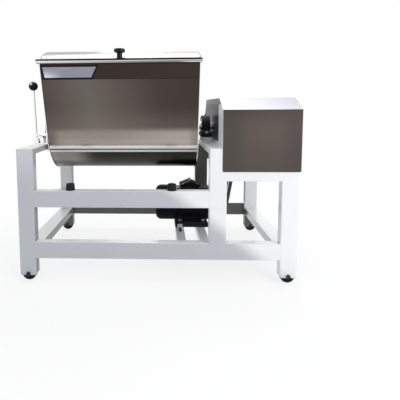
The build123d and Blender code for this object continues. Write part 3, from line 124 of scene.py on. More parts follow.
class Finish(NodeTree):  # one material with a Principled shader
    def __init__(self, name, color, roughness, metallic=0.0, coat=0.0, coatRoughness=0.1, shine=0.5,
                 edgeShine=1.0):
        self.material = bpy.data.materials.new(name)
        self.material.use_nodes = True
        super().__init__(self.material.node_tree)
        self.shader = self.tree.nodes["Principled BSDF"]
        self.roughness = roughness
        self.shader.inputs["Base Color"].default_value = (*color, 1)
        self.shader.inputs["Roughness"].default_value = roughness
        self.shader.inputs["Metallic"].default_value = metallic
        self.shader.inputs["Coat Weight"].default_value = coat
        self.shader.inputs["Coat Roughness"].default_value = coatRoughness
        self.shader.inputs["Specular IOR Level"].default_value = shine
        self.shader.inputs["Specular Tint"].default_value = (edgeShine, edgeShine, edgeShine, 1)
        self.place = self.node("ShaderNodeTexCoord", {}, {}, "Object")

    def axes(self):
        return Axes(self, self.place)

    def facing(self):  # the surface's own direction, which turns with its piece
        return Axes(self, self.node("ShaderNodeTexCoord", {}, {}, "Normal"))

    def noise(self, scale, detail=2, roughness=0.5, place=None):
        inputs = {"Vector": place or self.place, "Scale": scale, "Detail": detail, "Roughness": roughness}
        return self.node("ShaderNodeTexNoise", {}, inputs, "Fac")

    def streaks(self, scales, detail=2, roughness=0.5):  # noise with a scale for each axis
        place = self.node("ShaderNodeMapping", {}, {"Vector": self.place, "Scale": scales})
        return self.noise(1, detail, roughness, place)

    def ramp(self, factor, stops):
        made = self.node("ShaderNodeValToRGB", {}, {"Fac": factor}, "Color")
        elements = made.socket.node.color_ramp.elements
        while len(elements) < len(stops):
            elements.new(0.5)
        for element, (position, tone) in zip(elements, stops):
            element.position = position
            element.color = (*tone, 1)
        return made

    def blend(self, factor, first, second):  # colours mix here, because Math would turn them grey
        def tone(value):
            return value if isinstance(value, Wire) else (*value, 1)
        inputs = {"Factor": factor, 6: tone(first), 7: tone(second)}
        return self.node("ShaderNodeMix", {"data_type": "RGBA"}, inputs, 2)

    def patched(self, noise, look):  # a look's second tone, in patches on its own color
        return self.blend(noise.step(look["patchSpan"]) * look["patchShare"], look["color"], look["second"])

    def paint(self, value):
        self.tree.links.new(value.socket, self.shader.inputs["Base Color"])

    def rough(self, value):
        self.tree.links.new(value.socket, self.shader.inputs["Roughness"])

    def metal(self, value):
        self.tree.links.new(value.socket, self.shader.inputs["Metallic"])

    def bump(self, height, strength, distance=0.001):
        inputs = {"Height": height, "Strength": strength, "Distance": distance}
        made = self.node("ShaderNodeBump", {}, inputs)
        self.tree.links.new(made.socket, self.shader.inputs["Normal"])


def scaled(color, factor):
    return tuple(min(1, part * factor) for part in color)


def finishNodes(finish, *names):
    for name in names:
        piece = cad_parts[name]
        piece.data.materials.clear()
        piece.data.materials.append(finish.material)


# White stove-baked paint on the welded frame, with painted shade where less light falls: a cooler grey on the
# left below a diagonal shadow edge, dark front faces on the rear parts, and grey inner side faces.
# Spans named after an axis or a height are metres in the frame, and those named Turn are parts of a normal.
paintLook = {
    "color": (0.87, 0.875, 0.88),
    # The tones and spans that follow paint shade: a cooler grey below a diagonal shadow edge, a dark tone for
    # the rear parts and a grey for inner sides
    "cool": (0.495, 0.51, 0.55),
    "coolHigh": (0.60, 0.62, 0.655),
    "coolHeight": (0.40, 0.56),
    "slope": 0.77,
    "litEdge": (0.385, 0.475),
    "deep": (0.075, 0.075, 0.070),
    "rearPale": 0.92,
    "rearEdge": (0.60, 0.655),
    "rearLegX": (0.500, 0.506),
    "postLeftX": (0.19, 0.21),
    "postRightX": (0.29, 0.31),
    "leftLegX": (-0.50, -0.45),
    "leftLegHeight": (0.20, 0.28),
    "leftLegShare": 0.8,
    "rearY": (0.20, 0.25),
    "frontTurn": (0.35, 0.8),
    "inner": (0.155, 0.155, 0.148),
    "innerHigh": (0.40, 0.40, 0.395),
    "innerHeight": (0.20, 0.45),
    "innerY": (-0.25, 0.10),
    "innerLeftX": (-0.45, -0.30),
    "innerRightX": (0.10, 0.15),
    "sideTurn": (0.5, 0.9),
    "roughness": 0.34,
    "coat": 0.25,
    "coatRoughness": 0.15,
    "peel": (700, 2),
    "peelStrength": 0.05,
    "cloud": (6, 3),
    "cloudSpan": (0.3, 0.75),
    "cloudShare": 0.05,
    "cloudSwing": 0.12,
    "dust": (0.36, 0.36, 0.35),
    "scuff": (45, 6, 0.7),
    "scuffSpan": (0.56, 0.72),
    "scuffHeight": (0.02, 0.10),
    "scuffShare": 0.4,
    "scuffRough": 0.3,
}


def makeFramePaint():
    look = paintLook
    made = Finish("framePaint", look["color"], look["roughness"], coat=look["coat"],
                  coatRoughness=look["coatRoughness"])
    at = made.axes()
    way = made.facing()
    cloud = made.noise(*look["cloud"])
    peel = made.noise(*look["peel"])
    # Painted shade on front faces: a cooler grey below a diagonal shadow edge, lighter higher up
    cool = made.blend(at.z.step(look["coolHeight"]), look["cool"], look["coolHigh"])
    lit = made.blend((at.z + at.x * look["slope"]).step(look["litEdge"]), cool, look["color"])
    # Painted shade on the rear parts' front faces: dark, except where light reaches the right rear leg and
    # the upper rear left leg
    post = at.x.step(look["postLeftX"]) * at.x.fall(look["postRightX"])
    rearRight = (at.z + at.x).step(look["rearEdge"]) * at.x.step(look["rearLegX"]) * (1 - post)
    rearLeft = at.x.fall(look["leftLegX"]) * at.z.step(look["leftLegHeight"]) * look["leftLegShare"]
    rear = made.blend(rearRight.most(rearLeft), look["deep"], scaled(look["color"], look["rearPale"]))
    behind = at.y.step(look["rearY"])
    tone = made.blend((-way.y).step(look["frontTurn"]), look["color"], made.blend(behind, lit, rear))
    # Painted shade on inner side faces: grey, lighter where they are high up and towards the front
    high = at.z.step(look["innerHeight"]) * at.y.fall(look["innerY"])
    inner = made.blend(high, look["inner"], look["innerHigh"])
    leftInner = way.x.step(look["sideTurn"]) * at.x.fall(look["innerLeftX"])
    rearInner = (-way.x).step(look["sideTurn"]) * at.x.step(look["innerRightX"]) * behind
    tone = made.blend(leftInner.most(rearInner), tone, inner)
    tone = made.blend(cloud.step(look["cloudSpan"]) * look["cloudShare"], tone, look["dust"])
    scuffs = made.noise(*look["scuff"]).step(look["scuffSpan"]) * at.z.fall(look["scuffHeight"])
    scuffs = scuffs * look["scuffShare"]
    made.paint(made.blend(scuffs, tone, look["dust"]))
    made.rough(look["roughness"] + cloud.swing(look["cloudSwing"]) + scuffs * look["scuffRough"])
    made.bump(peel, look["peelStrength"])
    return made


framePaint = makeFramePaint()
finishNodes(framePaint, "front_left_leg", "rear_left_leg", "front_middle_post", "rear_middle_post",
            "front_right_leg", "rear_right_leg", "front_upper_rail", "front_lower_rail",
            "rear_lower_rail", "drive_top_rails", "bottom_side_rails", "top_beams",
            "motor_support_rails")
print("frame painted")

# Satin stainless sheet: a grain too fine to see from afar, and the room's light and dark painted on it as
# reflections
steelLook = {
    # The pale, band and bright tones are a painted reflection, a dark painted reflection and a painted
    # highlight
    "pale": (0.80, 0.79, 0.78),
    "band": (0.044, 0.034, 0.030),
    "bright": (0.99, 0.98, 0.96),
    "roughness": 0.3,
    "grainAlong": 6,
    "grainAcross": 900,
    "grainSwing": 0.10,
    "grainBump": (0.012, 0.0003),
    "grainSpan": (0.3, 0.7),
    "grainShare": 0.05,
}


def brushed(made, along):  # grain lines that run along one axis
    scales = [steelLook["grainAcross"]] * 3
    scales["xyz".index(along)] = steelLook["grainAlong"]
    fine = made.streaks(scales)
    made.rough(made.roughness + fine.swing(steelLook["grainSwing"]))
    made.bump(fine, *steelLook["grainBump"])
    return fine


def grained(made, tone, fine):  # the grain's own light and dark
    return made.blend(fine.step(steelLook["grainSpan"]) * steelLook["grainShare"], tone, (0, 0, 0))


# Trough: reflections and shade painted on the stainless: the wall painted darker to the right, a painted
# bright knee turning under it, then two painted highlight lines along the seam bead and the belly painted
# dark in shade.
# Spans named Along are shares of the trough's length.
troughLook = {
    # The tones below paint reflections, highlights and shade on the stainless
    "wall": [
        (0.00, (0.092, 0.076, 0.064)),
        (0.30, (0.150, 0.134, 0.118)),
        (0.48, (0.120, 0.100, 0.090)),
        (0.75, (0.068, 0.055, 0.049)),
        (1.00, (0.056, 0.046, 0.042)),
    ],
    "waves": (2.4, 0.4, 1.1),
    "waveDetail": 1,
    "waveSwing": 0.10,
    "wallMiddle": 0.75,
    "wallLean": 0.25,
    "wallFootHeight": (0.62, 0.74),
    "wallFootShare": 0.22,
    "bandHeight": (0.8435, 0.8450),
    "knee": (0.30, 0.262, 0.235),
    "kneeRight": (0.41, 0.362, 0.327),
    "kneeAlong": (0.35, 0.98),
    "kneeHeight": (0.608, 0.642),
    "kneeGlow": (0.62, 0.57, 0.53),
    "glowHeight": (0.56, 0.60),
    "glowShare": 0.30,
    "leftEndAlong": (0.0, 0.10),
    "rightEndAlong": (0.93, 0.98),
    "endShare": 0.45,
    "endTone": 0.5,
    "lineTop": (0.552, 0.560),
    "lineLow": (0.5405, 0.5425),
    "groove": (0.070, 0.056, 0.048),
    "secondTop": (0.5348, 0.5362),
    "secondLow": (0.5235, 0.5285),
    "secondTone": 0.8,
    "under": (0.034, 0.032, 0.028),
    "deep": (0.006, 0.006, 0.005),
    "deepHeight": (0.455, 0.50),
    "deepAlong": (0.35, 0.85),
    "patch": (0.38, 0.37, 0.35),
    "patchAlong": (0.10, 0.32),
    "patchShare": 0.75,
    "bottomHeight": (0.465, 0.49),
    "bottomShare": 0.6,
    "topTurn": (0.25, 0.8),
}


def makeTroughSteel():
    look = troughLook
    made = Finish("troughSteel", look["knee"], steelLook["roughness"], metallic=1)
    low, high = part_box("trough_shell")
    at = made.axes()
    way = made.facing()
    fine = brushed(made, "x")
    waves = made.streaks(look["waves"], look["waveDetail"])
    along = (at.x - low.x) / (high.x - low.x)
    # Painted reflection: the wall darker to the right and towards the knee tone near its foot, with a darker
    # painted band at the top
    drift = along + waves.swing(look["waveSwing"]) + (at.z - look["wallMiddle"]) * look["wallLean"]
    wall = made.ramp(drift, look["wall"])
    wall = made.blend(at.z.fall(look["wallFootHeight"]) * look["wallFootShare"], wall, look["knee"])
    tone = made.blend(at.z.step(look["bandHeight"]), wall, steelLook["band"])
    # Painted reflection on the knee, lighter to the right, with a painted glow below it and painted shade
    # near the ends
    knee = made.blend(along.step(look["kneeAlong"]), look["knee"], look["kneeRight"])
    knee = made.blend(at.z.fall(look["glowHeight"]) * look["glowShare"], knee, look["kneeGlow"])
    ends = along.fall(look["leftEndAlong"]).most(along.step(look["rightEndAlong"]))
    knee = made.blend(ends * look["endShare"], knee, scaled(look["knee"], look["endTone"]))
    tone = made.blend(at.z.fall(look["kneeHeight"]), tone, knee)
    # Two painted highlight lines along the seam bead, with a painted shadow line between them
    tone = made.blend(at.z.fall(look["lineTop"]), tone, steelLook["bright"])
    tone = made.blend(at.z.fall(look["lineLow"]), tone, look["groove"])
    tone = made.blend(at.z.fall(look["secondTop"]), tone, scaled(steelLook["bright"], look["secondTone"]))
    # The belly painted in shade, darkest low down and to the right, with a lighter painted reflection at the
    # left
    under = made.blend(at.z.fall(look["deepHeight"]) * along.step(look["deepAlong"]), look["under"],
                       look["deep"])
    under = made.blend(along.fall(look["patchAlong"]) * look["patchShare"], under, look["patch"])
    under = made.blend(at.z.fall(look["bottomHeight"]) * look["bottomShare"], under, look["deep"])
    tone = made.blend(at.z.fall(look["secondLow"]), tone, under)
    # Faces turned up painted pale as a reflection
    tone = made.blend(way.z.step(look["topTurn"]), tone, steelLook["pale"])
    made.paint(grained(made, tone, fine))
    return made


# Rim bands: a plainer sheet painted as a dark reflection, with a painted shadow at its edges
bandLook = {
    "rightX": (-0.30, 0.18),
    "rightShare": 0.5,
    "rightTone": 1.25,
    "edge": (0.0008, 0.0022),
    "edgeTone": 0.55,
    "topTurn": (0.4, 0.9),
}


def makeBandSteel():
    look = bandLook
    base = steelLook["band"]
    made = Finish("bandSteel", base, steelLook["roughness"], metallic=1)
    low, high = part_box("rim_bands")
    at = made.axes()
    way = made.facing()
    fine = brushed(made, "x")
    # Painted shadow along the top and bottom edges; painted reflection lighter to the right and pale on faces
    # turned up
    edge = (high.z - at.z).least(at.z - low.z).step(look["edge"])
    tone = made.blend(at.x.step(look["rightX"]) * look["rightShare"], base, scaled(base, look["rightTone"]))
    tone = made.blend(edge, scaled(base, look["edgeTone"]), tone)
    tone = made.blend(way.z.step(look["topTurn"]), tone, steelLook["pale"])
    made.paint(grained(made, tone, fine))
    return made


# End plates and blades: faces turned along the trough's axis painted darker as a reflection, the rest painted
# bright as a highlight
endLook = {"roughness": 0.24, "sideTurn": (0.3, 0.8), "sideTone": 0.55}


def makeEdgeSteel():
    look = endLook
    made = Finish("edgeSteel", steelLook["pale"], look["roughness"], metallic=1)
    way = made.facing()
    fine = brushed(made, "z")
    # Painted reflection: faces turned along the trough's axis darker, the rest bright as a painted highlight
    side = scaled(steelLook["pale"], look["sideTone"])
    tone = made.blend(abs(way.x).step(look["sideTurn"]), steelLook["bright"], side)
    made.paint(grained(made, tone, fine))
    return made


# Lid: painted reflections on the lip below the crown, each at its rise above the lid's lower edge: a hem
# painted bright to the right, a band painted lighter to the left, a painted highlight line and a dark painted
# reflection at the top; the crown painted paler to the left
lidLook = {
    "hem": (0.27, 0.26, 0.25),
    "hemRight": (0.92, 0.91, 0.90),
    "hemRightX": (0.08, 0.15),
    "hemRise": (0.0026, 0.0036),
    "band": (0.15, 0.14, 0.145),
    "bandLeft": (0.50, 0.49, 0.51),
    "leftX": (-0.40, 0.05),
    "line": (0.66, 0.65, 0.64),
    "lineRise": (0.0056, 0.0068),
    "seam": (0.006, 0.005, 0.005),
    "seamRise": (0.0094, 0.0104),
    "crown": (0.47, 0.465, 0.46),
    "crownLeft": (0.74, 0.74, 0.73),
    "crownX": (-0.25, 0.15),
    "crownRise": (0.0168, 0.0172),
    "crownTurn": (0.80, 0.97),
    "roughness": 0.26,
    "edgeShine": 0.5,
}


def makeLidSteel():
    look = lidLook
    made = Finish("lidSteel", steelLook["pale"], look["roughness"], metallic=1, edgeShine=look["edgeShine"])
    at = made.axes()
    way = made.facing()
    fine = brushed(made, "x")
    rise = at.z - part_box("lid")[0].z
    # Painted reflections by height on the lip, lighter to the left, with a painted highlight line and a dark
    # painted reflection at its top; the crown paler to the left
    left = at.x.fall(look["leftX"])
    band = made.blend(left, look["band"], look["bandLeft"])
    hem = made.blend(at.x.step(look["hemRightX"]), look["hem"], look["hemRight"])
    lip = made.blend(rise.step(look["hemRise"]), made.blend(left, hem, look["bandLeft"]), band)
    lip = made.blend(rise.step(look["lineRise"]), lip, look["line"])
    lip = made.blend(rise.step(look["seamRise"]), lip, look["seam"])
    crown = made.blend(at.x.step(look["crownX"]), look["crownLeft"], look["crown"])
    tone = made.blend(way.z.step(look["crownTurn"]).most(rise.step(look["crownRise"])), lip, crown)
    made.paint(grained(made, tone, fine))
    return made


# Drive cover: stainless with painted reflections: a dark brown front, a pale tray on top, a left wall painted
# in shade as a dull dark sheet, and painted highlights on its hem and along the bright edge of the front
# shell
coverLook = {
    "front": (0.120, 0.098, 0.090),
    "frontLeft": (0.090, 0.080, 0.073),
    "leftX": (0.30, 0.38),
    "frontRight": (0.084, 0.073, 0.070),
    "rightX": (0.47, 0.56),
    "rightShare": 0.8,
    "frontLow": (0.092, 0.076, 0.070),
    "lowHeight": (0.47, 0.60),
    "lowShare": 0.5,
    "frontHigh": (0.066, 0.058, 0.052),
    "highHeight": (0.64, 0.745),
    "highShare": 0.8,
    "top": (0.53, 0.525, 0.565),
    "topTurn": (0.15, 0.6),
    "side": (0.050, 0.048, 0.046),
    "sideHigh": (0.010, 0.010, 0.010),
    "sideHeight": (0.645, 0.70),
    "sideTurn": (0.4, 0.9),
    "hem": (0.90, 0.88, 0.86),
    "hemHeight": (0.735, 0.737),
    "edge": (0.96, 0.96, 0.97),
    "edgeY": (-0.2270, -0.2255),
    "edgeHeight": (0.574, 0.576),
    "sideDull": 0.9,
    "hemBare": 0.9,
    "roughness": 0.32,
    "shine": 0.12,
    "edgeShine": 0.2,
}


def makeCoverSteel():
    look = coverLook
    made = Finish("coverSteel", look["front"], look["roughness"], metallic=1, shine=look["shine"],
                  edgeShine=look["edgeShine"])
    at = made.axes()
    way = made.facing()
    fine = brushed(made, "x")
    # Painted reflection on the front: darker to the left, to the right, low down and high up
    front = made.blend(at.x.step(look["leftX"]), look["frontLeft"], look["front"])
    front = made.blend(at.x.step(look["rightX"]) * look["rightShare"], front, look["frontRight"])
    front = made.blend(at.z.fall(look["lowHeight"]) * look["lowShare"], front, look["frontLow"])
    front = made.blend(at.z.step(look["highHeight"]) * look["highShare"], front, look["frontHigh"])
    # Faces turned up painted pale as a reflection
    tone = made.blend(way.z.step(look["topTurn"]), front, look["top"])
    # The left wall painted in shade, darker up high and dull rather than metal, with painted highlights on
    # its hem, along the front shell's edge and at its foot
    hem = at.z.step(look["hemHeight"])
    side = made.blend(at.z.step(look["sideHeight"]), look["side"], look["sideHigh"])
    side = made.blend(hem, side, look["hem"])
    leftward = (-way.x).step(look["sideTurn"])
    edge = at.y.fall(look["edgeY"]).most(at.z.fall(look["edgeHeight"])) * leftward
    tone = made.blend(leftward, tone, side)
    tone = made.blend(edge, tone, look["edge"])
    made.metal(1 - leftward * (1 - hem * look["hemBare"]) * look["sideDull"])
    made.paint(grained(made, tone, fine))
    return made


finishNodes(makeTroughSteel(), "trough_shell")
finishNodes(makeBandSteel(), "rim_bands")
finishNodes(makeEdgeSteel(), "trough_left_end", "trough_right_end", "mixing_blades")
finishNodes(makeLidSteel(), "lid")
finishNodes(makeCoverSteel(), "cover_front_shell", "cover_rear_box", "cover_top_tray")
print("sheet steel brushed")

# Turned and plated steel. A noise is its scale, detail and roughness, and a bump its strength and depth.
turnedLook = {
    "color": (0.60, 0.60, 0.60),
    "second": (0.34, 0.33, 0.31),
    "patch": (60, 4),
    "patchSpan": (0.45, 0.7),
    "patchShare": 0.4,
    "roughness": 0.24,
    "rings": (900, 20, 20),
    "ringDetail": (2, 0.6),
    "ringSwing": 0.12,
    "bump": (0.06, 0.0004),
}
zincLook = {
    "color": (0.56, 0.57, 0.58),
    "second": (0.36, 0.37, 0.38),
    "patch": (90, 3),
    "patchSpan": (0.35, 0.7),
    "patchShare": 0.5,
    "roughness": 0.36,
    "patchSwing": 0.2,
    "spangleScale": 320,
    "spangleRough": 0.08,
}
oxideLook = {
    "color": (0.030, 0.030, 0.031),
    "second": (0.16, 0.155, 0.15),
    "patch": (140, 4, 0.6),
    "patchSpan": (0.55, 0.72),
    "patchShare": 0.6,
    "metallic": 0.6,
    "roughness": 0.38,
    "patchSwing": 0.3,
    "shine": 0.2,
    "bump": (0.08, 0.0003),
}
chromeLook = {
    "color": (0.93, 0.93, 0.93),
    "second": (0.651, 0.651, 0.651),
    "patch": (40, 3),
    "patchSpan": (0.5, 0.75),
    "patchShare": 0.3,
    "roughness": 0.12,
    "patchSwing": 0.08,
}
gearLook = {
    "color": (0.27, 0.27, 0.28),
    "second": (0.10, 0.085, 0.06),
    "patch": (28, 5, 0.6),
    "patchSpan": (0.42, 0.66),
    "patchShare": 0.8,
    "roughness": 0.33,
    "patchSwing": 0.25,
    "cuts": (20, 700, 700),
    "cutDetail": (2, 0.6),
    "bump": (0.08, 0.0004),
}


def makeTurnedSteel():
    look = turnedLook
    made = Finish("turnedSteel", look["color"], look["roughness"], metallic=1)
    rings = made.streaks(look["rings"], *look["ringDetail"])
    made.paint(made.patched(made.noise(*look["patch"]), look))
    made.rough(look["roughness"] + rings.swing(look["ringSwing"]))
    made.bump(rings, *look["bump"])
    return made


def makeZinc():
    look = zincLook
    made = Finish("zincPlate", look["color"], look["roughness"], metallic=1)
    inputs = {"Vector": made.place, "Scale": look["spangleScale"]}
    spangle = made.node("ShaderNodeTexVoronoi", {}, inputs, "Distance")
    haze = made.noise(*look["patch"])
    made.paint(made.patched(haze, look))
    made.rough(look["roughness"] + haze.swing(look["patchSwing"]) + spangle * look["spangleRough"])
    return made


def makeOxide():  # blackened bolts with worn corners
    look = oxideLook
    made = Finish("blackOxide", look["color"], look["roughness"], metallic=look["metallic"],
                  shine=look["shine"])
    rub = made.noise(*look["patch"])
    made.paint(made.patched(rub, look))
    made.rough(look["roughness"] + rub.swing(look["patchSwing"]))
    made.bump(rub, *look["bump"])
    return made


def makeChrome():
    look = chromeLook
    made = Finish("chromePlate", look["color"], look["roughness"], metallic=1)
    smear = made.noise(*look["patch"])
    made.paint(made.patched(smear, look))
    made.rough(look["roughness"] + smear.swing(look["patchSwing"]))
    return made


def makeGearSteel():
    look = gearLook
    made = Finish("gearSteel", look["color"], look["roughness"], metallic=1)
    film = made.noise(*look["patch"])
    made.paint(made.patched(film, look))
    made.rough(look["roughness"] + film.swing(look["patchSwing"]))
    made.bump(made.streaks(look["cuts"], *look["cutDetail"]), *look["bump"])
    return made


# The motor's bolts are bright, but its tension screw, in front of them, is blackened
fastenerLook = {**zincLook, "second": (0.364, 0.3705, 0.377), "screwY": (-0.045, -0.040)}


def makeFastenerSteel():
    look = fastenerLook
    made = Finish("fastenerSteel", look["color"], look["roughness"], metallic=1)
    haze = made.noise(*look["patch"])
    screw = made.axes().y.fall(look["screwY"])
    made.paint(made.blend(screw, made.patched(haze, look), oxideLook["color"]))
    made.rough(look["roughness"] + haze.swing(look["patchSwing"]))
    return made


zincPlate = makeZinc()
blackOxide = makeOxide()
finishNodes(zincPlate, "bearing_bolts", "trough_hinge_leaves", "lid_hinge_leaves", "motor_eye")
finishNodes(blackOxide, "wheel_axles")
finishNodes(makeTurnedSteel(), "bearing_inserts", "mixer_shaft", "input_shaft", "back_shaft", "motor_shaft")
finishNodes(makeChrome(), "lock_lever", "lock_pin", "lock_bracket")
finishNodes(makeGearSteel(), "main_gear", "cluster_gear", "back_gear")
finishNodes(makeFastenerSteel(), "motor_fasteners")
print("turned and plated parts finished")

# Castings: grainy black paint, raw iron, grey spacers and bronze bushes
castLook = {
    "skin": (260, 4, 0.65),
    "skinSwing": 0.25,
    "skinDepth": 0.0008,
    "patch": (24, 3),
    "patchSpan": (0.4, 0.7),
    "patchTone": 1.7,
}
castings = {
    "blackCasting": {"color": (0.0065, 0.0065, 0.0075), "roughness": 0.46, "metallic": 0.0, "grain": 0.35,
                     "shine": 0.16,
                     "nodes": ("bearing_housings", "trough_hubs", "motor_body", "motor_base_plate")},
    "rawCasting": {"color": (0.075, 0.074, 0.076), "roughness": 0.5, "metallic": 0.8, "grain": 0.35,
                   "shine": 0.5, "nodes": ("drive_plates", "large_pulley", "motor_pulley")},
    "spacerPaint": {"color": (0.60, 0.61, 0.61), "roughness": 0.4, "metallic": 0.2, "grain": 0.12,
                    "shine": 0.5, "nodes": ("bearing_spacers",)},
    "bushBronze": {"color": (0.52, 0.33, 0.15), "roughness": 0.3, "metallic": 1.0, "grain": 0.06,
                   "shine": 0.5, "nodes": ("drive_bushes",)},
}


def makeCasting(name, look):
    color = look["color"]
    made = Finish(name, color, look["roughness"], metallic=look["metallic"], shine=look["shine"])
    skin = made.noise(*castLook["skin"])
    patch = made.noise(*castLook["patch"]).step(castLook["patchSpan"])
    made.paint(made.blend(patch, color, scaled(color, castLook["patchTone"])))
    made.rough(look["roughness"] + skin.swing(castLook["skinSwing"]))
    made.bump(skin, look["grain"], castLook["skinDepth"])
    return made


for name, look in castings.items():
    finishNodes(makeCasting(name, look), *look["nodes"])
print("castings finished")

# Rubber: dusty wheels and buffers, and woven belts
rubberLook = {
    "color": (0.011, 0.011, 0.012),
    "dust": (0.10, 0.095, 0.09),
    "dustNoise": (30, 4),
    "dustSpan": (0.42, 0.7),
    "dustHeight": (0.0, 0.05),
    "dustShare": 0.6,
    "roughness": 0.72,
    "shine": 0.2,
    "pores": (420, 3),
    "poreSwing": 0.2,
    "bump": (0.18, 0.0006),
}
beltLook = {
    "color": (0.011, 0.011, 0.012),
    "second": (0.05, 0.05, 0.052),
    "patchSpan": (0.4, 0.6),
    "patchShare": 0.5,
    "roughness": 0.6,
    "weave": (900, 240, 240),
    "bump": (0.2, 0.0005),
}


def makeRubber():
    look = rubberLook
    made = Finish("blackRubber", look["color"], look["roughness"], shine=look["shine"])
    pores = made.noise(*look["pores"])
    dust = made.noise(*look["dustNoise"]).step(look["dustSpan"]) * made.axes().z.fall(look["dustHeight"])
    made.paint(made.blend(dust * look["dustShare"], look["color"], look["dust"]))
    made.rough(look["roughness"] + pores.swing(look["poreSwing"]))
    made.bump(pores, *look["bump"])
    return made


def makeBeltRubber():
    look = beltLook
    made = Finish("beltRubber", look["color"], look["roughness"])
    weave = made.streaks(look["weave"])
    made.paint(made.patched(weave, look))
    made.bump(weave, *look["bump"])
    return made


finishNodes(makeRubber(), "tilt_buffers", "front_left_wheel", "front_right_wheel", "rear_left_wheel",
            "rear_right_wheel")
finishNodes(makeBeltRubber(), "drive_belts")
print("rubber finished")

# Moulded plastic: glossy knob and ball, the ball with a painted glint where it faces the lamp, and the
# motor's dull covers
mouldLook = {
    "color": (0.005, 0.005, 0.006),
    "second": (0.012, 0.012, 0.013),
    "patch": (30, 4),
    "patchSpan": (0.45, 0.7),
    "patchShare": 0.4,
    "patchSwing": 0.12,
    "glint": (0.85, 0.85, 0.85),
    "glintWay": (-0.23, -0.85, 0.48),
    "glintSpan": (0.93, 0.985),
    "coatRoughness": 0.04,
    "grain": (500, 2),
    "bump": (0.03, 0.0004),
}
mouldings = {
    "knobPlastic": {"roughness": 0.16, "coat": 0.10, "shine": 0.10, "glint": 0.0, "nodes": ("lid_knob",)},
    "ballPlastic": {"roughness": 0.16, "coat": 0.10, "shine": 0.10, "glint": 0.9, "nodes": ("lever_ball",)},
    "motorPlastic": {"roughness": 0.62, "coat": 0.0, "shine": 0.05, "glint": 0.0,
                     "nodes": ("motor_fan_cover", "terminal_box", "motor_fan")},
}


def makeMoulded(name, look):
    made = Finish(name, mouldLook["color"], look["roughness"], coat=look["coat"],
                  coatRoughness=mouldLook["coatRoughness"], shine=look["shine"])
    smear = made.noise(*mouldLook["patch"])
    way = made.facing()
    # Painted glint: the ball's colour turns pale where its surface faces the lamp
    glintX, glintY, glintZ = mouldLook["glintWay"]
    toLamp = way.x * glintX + way.y * glintY + way.z * glintZ
    glint = toLamp.step(mouldLook["glintSpan"]) * look["glint"]
    made.paint(made.blend(glint, made.patched(smear, mouldLook), mouldLook["glint"]))
    made.rough(look["roughness"] + smear.swing(mouldLook["patchSwing"]))
    made.bump(made.noise(*mouldLook["grain"]), *mouldLook["bump"])
    return made


for name, look in mouldings.items():
    finishNodes(makeMoulded(name, look), *look["nodes"])
print("plastic finished")

# Nameplate: a silver field inside a black border, with a painted highlight at its lower left, with slanted
# ends
plateLook = {
    "field": (0.30, 0.30, 0.36),
    "glow": (0.90, 0.90, 0.92),
    "glowWidth": (0.0, 0.10),
    "glowRise": (0.0, 0.8),
    "border": (0.006, 0.006, 0.009),
    "borderSpan": (0.0069, 0.0081),
    "leftSlant": 0.009,
    "rightSlant": 0.031,
    "grain": (20, 500, 500),
    "grainTone": (0.1, 0.1, 0.12),
    "grainSpan": (0.4, 0.6),
    "grainShare": 0.12,
    "roughness": 0.3,
    "shine": 0.12,
    "borderRough": 0.22,
    "fieldRougher": 0.14,
    "fieldMetal": 0.6,
    "bump": (0.25, 0.0003),
}


def makePlateFinish():
    look = plateLook
    made = Finish("plateFinish", look["field"], look["roughness"], shine=look["shine"])
    low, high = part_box("nameplate")
    at = made.axes()
    rise = (at.z - low.z) / (high.z - low.z)
    leftEdge = (at.x - low.x) - (1 - rise) * look["leftSlant"]
    rightEdge = (high.x - at.x) - (1 - rise) * look["rightSlant"]
    inside = leftEdge.least(rightEdge).least(at.z - low.z).least(high.z - at.z)
    field = inside.step(look["borderSpan"])
    # Painted highlight on the field's lower left
    glow = (at.x - low.x).fall(look["glowWidth"]) * rise.fall(look["glowRise"])
    silver = made.blend(glow, look["field"], look["glow"])
    grain = made.streaks(look["grain"]).step(look["grainSpan"])
    silver = made.blend(grain * look["grainShare"], silver, look["grainTone"])
    made.paint(made.blend(field, look["border"], silver))
    made.rough(look["borderRough"] + field * look["fieldRougher"])
    made.metal(field * look["fieldMetal"])
    made.bump(field, *look["bump"])
    return made


finishNodes(makePlateFinish(), "nameplate")
print("nameplate finished")

pieceLook = {"merge": 0.00002, "sharpAngle": math.radians(38)}


def newPiece(name, mesh, finish, body):
    bmesh.ops.remove_doubles(mesh, verts=mesh.verts, dist=pieceLook["merge"])
    bmesh.ops.recalc_face_normals(mesh, faces=mesh.faces)
    data = bpy.data.meshes.new(name)
    mesh.to_mesh(data)
    mesh.free()
    data.materials.append(finish.material)
    data.polygons.foreach_set("use_smooth", [True] * len(data.polygons))
    data.set_sharp_from_angle(angle=pieceLook["sharpAngle"])
    piece = bpy.data.objects.new(name, data)
    bpy.context.scene.collection.objects.link(piece)
    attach(piece, body)


# Painted-over weld beads where the tubes of the frame meet
weldLook = {"radius": 0.0021, "inset": 0.0013, "ripple": 0.0003, "pitch": 0.0038, "corner": 0.004,
            "steps": 168, "sides": 6}
beadWays = {"x": ((0, 1, 0), (0, 0, 1)), "y": ((1, 0, 0), (0, 0, 1)), "z": ((1, 0, 0), (0, 1, 0))}


